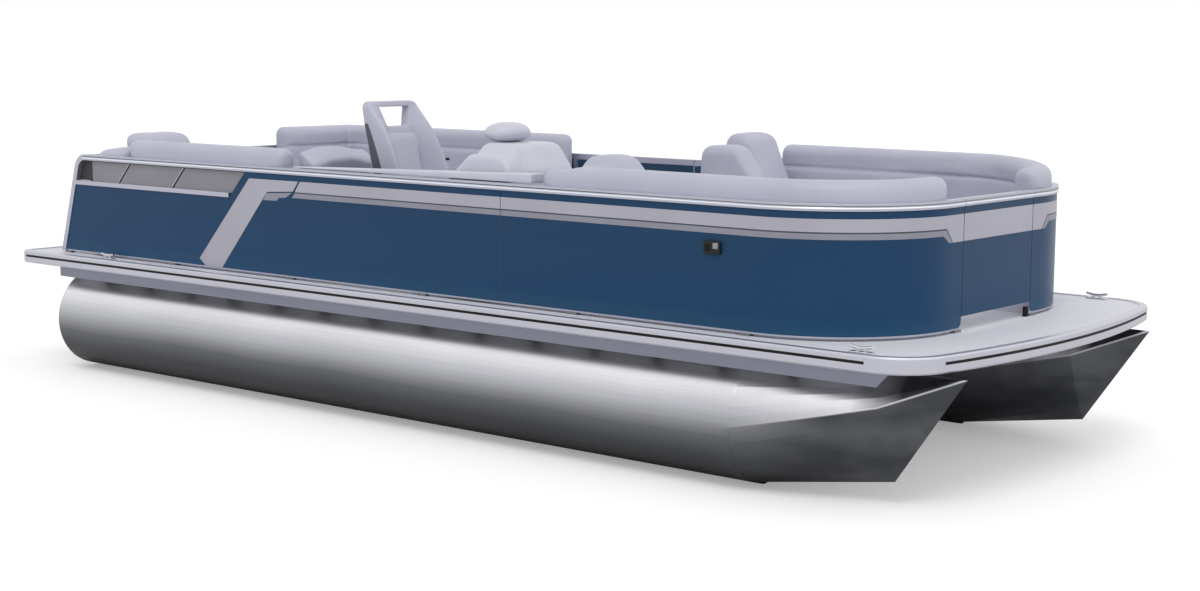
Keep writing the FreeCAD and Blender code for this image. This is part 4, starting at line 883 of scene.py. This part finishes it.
def rod(name, body, points, radius, material, smooth=False):
    """A round bar through points."""
    curve = bpy.data.curves.new(name, "CURVE")
    curve.dimensions = "3D"
    curve.bevel_depth = radius
    curve.bevel_resolution = 4
    curve.use_fill_caps = True
    spline = curve.splines.new("NURBS" if smooth else "POLY")
    spline.points.add(len(points) - 1)
    for point, place in zip(spline.points, points):
        point.co = (*place, 1)
    if smooth:
        spline.use_endpoint_u = True
        spline.order_u = 3
    return add_object(name, curve, body, material)


def block(name, body, centre, size, radius, material, tilt=0.0):
    """A box with rounded edges, tilted about the athwart axis."""
    made = bmesh.new()
    bmesh.ops.create_cube(made, size=1.0)
    bmesh.ops.scale(made, vec=size, verts=made.verts)
    bmesh.ops.bevel(made, geom=made.edges[:], offset=radius, segments=3, affect="EDGES",
                    profile=0.5)
    bmesh.ops.rotate(made, verts=made.verts, cent=(0, 0, 0), matrix=Matrix.Rotation(tilt, 3, "Y"))
    bmesh.ops.translate(made, verts=made.verts, vec=centre)
    return add_object(name, mesh_of(name, made, True), body, material)


def disc(name, body, centre, radius, depth, way, material):
    """A round plate whose axis points along way."""
    made = bmesh.new()
    bmesh.ops.create_cone(made, cap_ends=True, segments=40, radius1=radius, radius2=radius * 0.96,
                          depth=depth)
    bmesh.ops.rotate(made, verts=made.verts, cent=(0, 0, 0),
                     matrix=way.to_track_quat("Z", "Y").to_matrix())
    bmesh.ops.translate(made, verts=made.verts, vec=centre)
    return add_object(name, mesh_of(name, made), body, material)


DASH_TILT = math.atan2(0.19, 0.15)
GAUGES = (-0.085, 0.0, 0.085)
HOOD_Y, HOOD_Z = -0.669, 0.884
HOOD_WIDE, HOOD_TALL, HOOD_DEEP = 0.105, 0.054, 0.058
HOOD_HALF = 0.136
OVAL_STEPS = 28


def helm_stand():
    """The moulded helm stand: a rounded pod with a raked face, its lower arm and the hood."""
    (aft, low, _), (bow, high, _) = reach("helm_console")
    outline = rounded_outline([
        (aft + 0.002, 0.003, 0.02), (bow - 0.002, 0.003, 0.02), (bow - 0.071, 0.690, 0.06),
        (bow - 0.180, 0.829, 0.07), (aft + 0.150, 0.829, 0.05), (aft + 0.002, 0.640, 0.05)], 0.03)

    def arm(run, section):
        """The outer part, beside the shelf, is lower than the pod."""
        share = 1 - smooth_step(run, low + 0.105, low + 0.150)
        return [(x + 0.065 * share * smooth_step(z, 0.66, 0.80) * smooth_step(x, aft, bow),
                 z - 0.052 * share * smooth_step(z, 0.60, 0.83), kind) for x, z, kind in section]

    pad("helm_stand_shell", "hull", outline, low + 0.002, high - 0.002, across(), spacing=0.03,
        shape=arm, replaces=["helm_console"], fill=None, slot="pale_plastic")
    hood_x = aft + 0.155
    oval = []
    for k in range(OVAL_STEPS):
        turn = math.tau * k / OVAL_STEPS
        rise = math.sin(turn)
        wide, tall = (HOOD_WIDE, HOOD_TALL) if rise > 0 else (HOOD_WIDE - 0.012 * rise, HOOD_DEEP)
        oval.append((hood_x + wide * math.cos(turn), HOOD_Z + tall * rise, "free"))

    def lens(run, section):
        """The hood narrows towards both ends, and its foot stays in the pod."""
        share = abs(run - HOOD_Y) / (HOOD_HALF + 0.002)
        size = max(0.10, 1 - share ** 3.0) ** 0.5
        return [(hood_x + (x - hood_x) * size, HOOD_Z - 0.012 * (1 - size) + (z - HOOD_Z) * size,
                 kind) for x, z, kind in section]

    pad("helm_hood", "hull", oval, HOOD_Y - HOOD_HALF, HOOD_Y + HOOD_HALF, across(),
        end_round=0.012, spacing=0.014, shape=lens, fill=None, slot="pale_plastic")
    out = Vector((-math.sin(DASH_TILT), 0, math.cos(DASH_TILT)))
    dash = ship(aft + 0.086, HOOD_Y, 0.748)
    block("dash_panel", "hull", dash, (0.130, 0.300, 0.010), 0.004, "dark_plastic",
          tilt=-DASH_TILT)
    for index, off in enumerate(GAUGES):
        spot = dash + Vector((0, off, 0)) + out * 0.006
        disc("gauge_rim_%d" % index, "hull", spot, 0.036, 0.008, out, "bright_trim")
        disc("gauge_face_%d" % index, "hull", spot + out * 0.004, 0.031, 0.003, out, "dial")
        block("gauge_hand_%d" % index, "hull", spot + out * 0.0062, (0.024, 0.003, 0.001),
              0.0004, "dial_marks", tilt=-DASH_TILT)
    lever = ship(aft + 0.060, high - 0.055, 0.722)
    block("throttle_base", "hull", lever, (0.080, 0.050, 0.020), 0.008, "dark_plastic",
          tilt=-DASH_TILT)
    rod("throttle_lever", "hull", [lever, lever + out * 0.045,
                                   lever + out * 0.070 + Vector((-0.02, 0, 0))], 0.007,
        "satin_metal")


def side_shelf():
    """The shelf beside the helm, whose top rises a little towards the bow."""
    (aft, low, foot), (bow, high, top) = reach("side_shelf")
    low, high = low + 0.001, high - 0.001

    def rise(run, section):
        lift = -0.040 + 0.050 * (run - aft) / (bow - aft)
        return [(y, z + lift * (z - foot) / (top - foot), kind) for y, z, kind in section]

    pad("side_shelf_shell", "hull", rounded_outline([
        (low, foot, 0.004), (low, top, 0.008), (high, top, 0.008), (high, foot, 0.004)], 0.03),
        aft + 0.001, bow - 0.001, ship, end_round=0.006, spacing=0.08, shape=rise, fill=None,
        replaces=["side_shelf"], slot="pale_plastic")


# Fittings
CLEAT_LENGTH = 0.130
CLEAT_BAR = ((0.005, 0.030), (0.035, 0.024), (0.065, 0.022), (0.095, 0.024), (0.125, 0.030))
LAMP_HEIGHT = 0.408
PANEL_FACE = 0.006


def fittings():
    """Low folded cleats on the deck's edge and the lamps on the bow fence."""
    (aft, _, _), (bow, edge, _) = reach("mooring_cleats")
    for side, word in SIDES:
        y = side * (edge - 0.014)
        for index, start in enumerate((aft, bow - CLEAT_LENGTH - 0.020)):
            tail = "_%s_%d" % (word, index)
            block("cleat_plate" + tail, "hull", ship(start + CLEAT_LENGTH / 2, y, 0.004),
                  (0.120, 0.034, 0.007), 0.003, "cleat_metal")
            rod("cleat_bar" + tail, "hull", [ship(start + x, y, z)
                                                         for x, z in CLEAT_BAR],
                            0.0075, "cleat_metal", True)
            for label, off in (("fore", 0.085), ("aft", 0.045)):
                rod("cleat_stem_%s%s" % (label, tail), "hull", [
                    ship(start + off, y, 0.006), ship(start + off, y, 0.024)], 0.008,
                    "cleat_metal")
    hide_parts("mooring_cleats")
    lamps = reach("side_lamps")
    middle = (lamps[0][0] + lamps[1][0]) / 2 - 0.006
    face = FENCE_HALF - PANEL_FACE
    for side, word in SIDES:
        case = block("lamp_case_" + word, "hull", ship(middle, side * (face + 0.009), LAMP_HEIGHT),
                     (0.098, 0.022, 0.062), 0.006, "dark_plastic")
        front = side * (face + 0.0195)
        block("lamp_lens_" + word, "hull", ship(middle + 0.026, front, LAMP_HEIGHT + 0.010),
              (0.030, 0.006, 0.030), 0.0025, "lens")
        block("lamp_mark_" + word, "hull", ship(middle - 0.020, front, LAMP_HEIGHT),
              (0.034, 0.004, 0.036), 0.0018, "black_rubber")
        if side == PORT:
            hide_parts("side_lamps")


# Graphics. A decal is a thin film on the fence's outer side, drawn by runs and heights.

FILM = 0.0012
FILM_STEP = 0.02
PLATE_FACE = 0.018


def decal(name, body, side, corners, material, depth=PANEL_FACE, lift=FILM):
    """A film with the outline given as (run, height), wrapped on the fence's outer side."""
    made = bmesh.new()
    made.faces.new([made.verts.new((run, height, 0)) for run, height in corners])
    runs = [run for run, height in corners]
    cut = max(min(runs), BEND_X)
    while cut < min(max(runs), BEND_END):
        geometry = made.verts[:] + made.edges[:] + made.faces[:]
        bmesh.ops.bisect_plane(made, geom=geometry, plane_co=(cut, 0, 0), plane_no=(1, 0, 0))
        cut += FILM_STEP
    bmesh.ops.triangulate(made, faces=[f for f in made.faces if len(f.verts) > 4])
    back = bmesh.ops.extrude_face_region(made, geom=made.faces[:])
    for item in back["geom"]:
        if isinstance(item, bmesh.types.BMVert):
            item.co.z = 1.0
    for vertex in made.verts:
        run, height, layer = vertex.co
        vertex.co = along_fence(side, run, depth - lift * (1 - layer), height)
    add_object(name, mesh_of(name, made), body, material)


def strip(name, body, side, start, stop, low, high, material, depth=PANEL_FACE, lift=FILM):
    """A decal with square ends."""
    decal(name, body, side, [(start, high), (stop, high), (stop, low), (start, low)], material,
          depth, lift)


def trim(name, body, side, section, start, stop, material):
    """A thin bar swept along the fence: section is given as (depth, height)."""
    runs = even_steps(start, stop, 0.03) if stop > BEND_X else [start, stop]
    count = len(section)
    points = [along_fence(side, run, depth, height) for run in runs for depth, height in section]
    faces = [(r * count + c, r * count + (c + 1) % count, (r + 1) * count + (c + 1) % count,
              (r + 1) * count + c) for r in range(len(runs) - 1) for c in range(count)]
    faces += [tuple(range(count)), tuple(range(len(points) - 1, len(points) - count - 1, -1))]
    add_object(name, mesh_from(name, points, faces, False), body, material)


# Heights of the stripes and stations of the slanted shapes, taken on the starboard side
SILVER_TOP, SILVER_FOOT, GREY_FOOT = 0.573, 0.511, 0.476
LINE = 0.007
PANEL_FOOT = 0.024
LINE_FOOT = SILVER_FOOT - LINE
GATE_SILVER_FOOT = 0.441
STRIPE_START, RAIL_START = 2.584, 0.52
PANEL_SEAM = reach("fence_panel_starboard_bow")[0][0]
SIDE_GATE = tuple(corner[0] for corner in reach("side_gate_panel"))
STEP_RUN = GATE_RUN - 0.161
STEP_TURN = STEP_RUN + 0.059
HULL_STOP = GATE_RUN - 0.001
# The bead's section as (depth, height): a painted highlight on the top rail
HIGHLIGHT_BEAD = [(0.0, 0.6172), (-0.0024, 0.6181), (-0.0036, 0.6205), (-0.0034, 0.6236),
        (-0.0018, 0.6260), (0.0, 0.6268)]
# Heights of the dark line above the bead: painted shade on the top rail
GROOVE_SHADE = (0.6305, 0.6345)
# Forward of this run the rail's dark line takes a warm tint, a painted reflection
WARM_REFLECTION_RUN = 4.9
RIM_FEET = (0.866, 1.402)


def port_spans(start):
    """The body and the reach of each piece of the port fence."""
    return [("hull", start, SIDE_GATE[0] - 0.006),
            ("side_gate", SIDE_GATE[0] + 0.002, SIDE_GATE[1] - 0.002),
            ("hull", SIDE_GATE[1] + 0.006, HULL_STOP)]


def graphics():
    """The stripes and trim of both sides, the blue lining inside the port fence and its gate,
    and the seam and the gate's band on the starboard side."""
    for side, word in SIDES:
        slant_band(side, word)
        long_stripes(side, word)
        recess_trim(side, word)
        rail_trim(side, word)
    for name, body, start, stop, low in (
            ("lining_aft", "hull", 2.745, SIDE_GATE[0] - 0.006, 0.03),
            ("lining_gate", "side_gate", SIDE_GATE[0] + 0.003, SIDE_GATE[1] - 0.004, 0.082),
            ("lining_bow", "hull", SIDE_GATE[1] + 0.008, 4.500, 0.03)):
        strip(name, body, PORT, start, stop, low, 0.608, "navy", WALL + 0.0015)
    strip("panel_seam_line", "hull", STARBOARD, PANEL_SEAM - 0.0035, PANEL_SEAM + 0.0005,
          PANEL_FOOT, SILVER_TOP, "dark_line", lift=0.0016)
    strip("silver_band_gate", "bow_gate", STARBOARD, GATE_RUN + 0.005, GATE_FAR - 0.005,
          GATE_SILVER_FOOT, SILVER_TOP, "silver")


def rail_trim(side, word):
    """A bright bead above the panels as a painted highlight of the rounded top rail, and a fine
    groove line above it as painted shade, along the top rail; towards the bow that line has a warm
    tint, a painted reflection.
    """
    spans = port_spans(RAIL_START) if side == PORT else [
        ("hull", RAIL_START, HULL_STOP), ("bow_gate", GATE_RUN + 0.004, GATE_FAR - 0.004)]
    for index, (body, start, stop) in enumerate(spans):
        tail = "_%s_%d" % (word, index)
        # A bright bead as a painted highlight of the rounded rail
        trim("rail_highlight_bead" + tail, body, side, HIGHLIGHT_BEAD, start, stop, "bright_trim")
        # The dark line above the bead is painted shade, warm-tinted as a painted reflection
        # towards the bow
        for label, first, last, material in (
                ("rail_groove_shade", start, min(stop, WARM_REFLECTION_RUN), "dark_line"),
                ("rail_groove_shade_bow", max(start, WARM_REFLECTION_RUN), stop, "bronze_line")):
            if last - first > 0.05:
                strip(label + tail, body, side, first, last, *GROOVE_SHADE, material, 0.0, 0.0008)


def recess_trim(side, word):
    """A dark sheet of painted shade at the recess's aft mouth, the bright rims of its leaning
    plates, and painted shade in the gaps beside them and under the rail.
    """
    # Painted shade in the recess's mouth
    decal("recess_mouth_shade_" + word, "hull", side, [
        (0.44, 0.478), (0.600, 0.478), (0.600, 0.606), (0.505, 0.606), (0.455, 0.570)],
        "liner", depth=0.034, lift=0.002)
    for index, foot in enumerate(RIM_FEET):
        decal("recess_rim_%s_%d" % (word, index), "hull", side, [
            (foot - 0.007, 0.4775), (foot + 0.117, 0.6075), (foot + 0.124, 0.6075),
            (foot, 0.4775)], "fence_rail", depth=PLATE_FACE, lift=0.002)
        # Painted shade in the gap beside each plate's rim
        decal("recess_gap_shade_%s_%d" % (word, index), "hull", side, [
            (foot - 0.002, 0.477), (foot + 0.122, 0.608), (foot + 0.142, 0.608),
            (foot + 0.018, 0.477)], "liner", depth=0.030, lift=0.002)
    trim("recess_shade_" + word, "hull", side, [(0.020, 0.6085), (0.006, 0.6085), (0.006, 0.604),
                                               (0.020, 0.604)], 0.62, 2.09, "liner")


def slant_band(side, word):
    """The wide silver band that slants down towards the stern."""
    decal("silver_band_" + word, "hull", side, [
        (2.139, 0.571), (2.568, 0.573), (2.522, 0.513), (2.297, 0.500), (1.880, 0.0235),
        (1.724, 0.0235), (1.669, 0.064)], "silver")
    decal("grey_chip_" + word, "hull", side, [
        (2.2915, 0.4925), (2.516, 0.5055), (2.458, 0.474), (2.401, 0.4705), (2.380, 0.452),
        (2.262, 0.4500)], "grey")


def long_stripes(side, word):
    """The silver and grey stripes that run forward to the bow gate, and step down there."""
    spans = port_spans(STRIPE_START) if side == PORT else [
        ("hull", STRIPE_START, PANEL_SEAM - 0.003), ("hull", PANEL_SEAM, HULL_STOP)]
    for index, (body, start, stop) in enumerate(spans):
        slant = 0.045 if index == 0 else 0.0
        if index == len(spans) - 1:
            low = GATE_SILVER_FOOT
            edge = [(STEP_RUN - 0.003, LINE_FOOT), (STEP_TURN - LINE, low)]
            silver_end = [(stop, low), (STEP_TURN, low), (STEP_RUN, SILVER_FOOT)]
            line_end = [(STEP_RUN, SILVER_FOOT), (STEP_TURN, low), *reversed(edge)]
            grey_end = edge + [(STEP_TURN - 0.035, low), (STEP_RUN - 0.024, GREY_FOOT)]
        else:
            silver_end = [(stop, SILVER_FOOT)]
            line_end = [(stop, SILVER_FOOT), (stop, LINE_FOOT)]
            grey_end = [(stop, LINE_FOOT), (stop, GREY_FOOT)]
        over, under = (start - slant, SILVER_FOOT), (start - slant, LINE_FOOT)
        for label, material, corners in (
                ("silver_stripe", "silver", [(start, SILVER_TOP), (stop, SILVER_TOP),
                                             *silver_end, over]),
                ("grey_stripe", "grey", [under, *grey_end, (start - slant * 1.6, GREY_FOOT)]),
                ("stripe_line", "dark_line", [over, *line_end, under])):
            decal("%s_%s_%d" % (label, word, index), body, side, corners, material)


# Stage. The lamps are suns: name, strength, spread in degrees and direction.
AMBIENT = 0.66
LAMPS = (("key_light", 0.80, 30, (-0.35, 0.75, -1.25)),
         ("fill_light", 0.35, 60, (-0.9, -0.2, -0.8)))
FLOOR_HALF = 400.0
FLOOR_GLOW = 0.3


def add_floor():
    mesh = bpy.data.meshes.new("floor")
    mesh.from_pydata([(x * FLOOR_HALF, y * FLOOR_HALF, 0)
                      for x, y in ((-1, -1), (1, -1), (1, 1), (-1, 1))], [], [(0, 1, 2, 3)])
    floor = bpy.data.objects.new("floor", mesh)
    bpy.context.scene.collection.objects.link(floor)
    mesh.materials.append(floor_material())


def floor_material():
    """A pale floor that looks white to the camera and keeps the boat's shadow."""
    shader = Shader("floor_finish", (0.86, 0.86, 0.86), 0.9, Specular_IOR_Level=0.0)
    shader.to("Base Color", shader.ramp(shader.noise(0.4, 2.0), [
        (0.3, (0.855, 0.855, 0.858)), (0.7, (0.865, 0.865, 0.868))]))
    glow = shader.node("Emission")
    camera_ray = shader.node("LightPath").outputs["Is Camera Ray"]
    shader.link(shader.math("MULTIPLY", camera_ray, FLOOR_GLOW), glow.inputs["Strength"])
    both = shader.node("AddShader")
    shader.link(shader.bsdf.outputs[0], both.inputs[0])
    shader.link(glow.outputs[0], both.inputs[1])
    output = [n for n in shader.tree.nodes if n.type == "OUTPUT_MATERIAL"][0]
    shader.link(both.outputs[0], output.inputs["Surface"])
    return shader.material


def add_light():
    """A soft even sky, white where it is seen, and two wide suns."""
    world = bpy.data.worlds.new("studio")
    bpy.context.scene.world = world
    world.use_nodes = True
    sky = Nodes(world.node_tree)
    background = sky.tree.nodes["Background"]
    background.inputs["Color"].default_value = (1, 1, 1, 1)
    rays = sky.node("LightPath").outputs
    seen = sky.math("MAXIMUM", rays["Is Camera Ray"], rays["Is Glossy Ray"])
    seen = sky.math("MAXIMUM", seen, rays["Is Transmission Ray"])
    sky.link(sky.spread(seen, AMBIENT, 1.0), background.inputs["Strength"])
    for name, strength, spread, way in LAMPS:
        lamp = bpy.data.lights.new(name, "SUN")
        lamp.energy = strength
        lamp.angle = math.radians(spread)
        holder = bpy.data.objects.new(name, lamp)
        bpy.context.scene.collection.objects.link(holder)
        holder.rotation_mode = "QUATERNION"
        holder.rotation_quaternion = Vector(way).to_track_quat("-Z", "Y")


# The camera, fitted to the photograph's straight lines
CAMERA_PLACE = (10.870, -8.503, 1.386)
CAMERA_ANGLES = (39.459, 7.607, 0.298)
CAMERA_LENS, CAMERA_SENSOR = 57.32, 36.0


def add_camera():
    yaw, pitch, roll = (math.radians(angle) for angle in CAMERA_ANGLES)
    ahead = Vector((-math.sin(yaw) * math.cos(pitch), math.cos(yaw) * math.cos(pitch),
                    -math.sin(pitch)))
    level = Vector((math.cos(yaw), math.sin(yaw), 0))
    upright = level.cross(ahead)
    right = level * math.cos(roll) + upright * math.sin(roll)
    up = upright * math.cos(roll) - level * math.sin(roll)
    data = bpy.data.cameras.new("camera")
    data.lens = CAMERA_LENS
    data.sensor_width = CAMERA_SENSOR
    data.clip_end = 2000
    camera = bpy.data.objects.new("camera", data)
    bpy.context.scene.collection.objects.link(camera)
    turn = Matrix((right, up, -ahead)).transposed()
    camera.matrix_world = Matrix.Translation(ship(*CAMERA_PLACE)) @ turn.to_4x4()
    bpy.context.scene.camera = camera


finish_nodes()
bow_lounges()
chaise_pads()
stern_lounges()
helm_chair()
helm_stand()
side_shelf()
fittings()
swell_pads()
smooth_pads()
graphics()
add_floor()
add_light()
add_camera()
bpy.context.scene.view_settings.view_transform = "Standard"
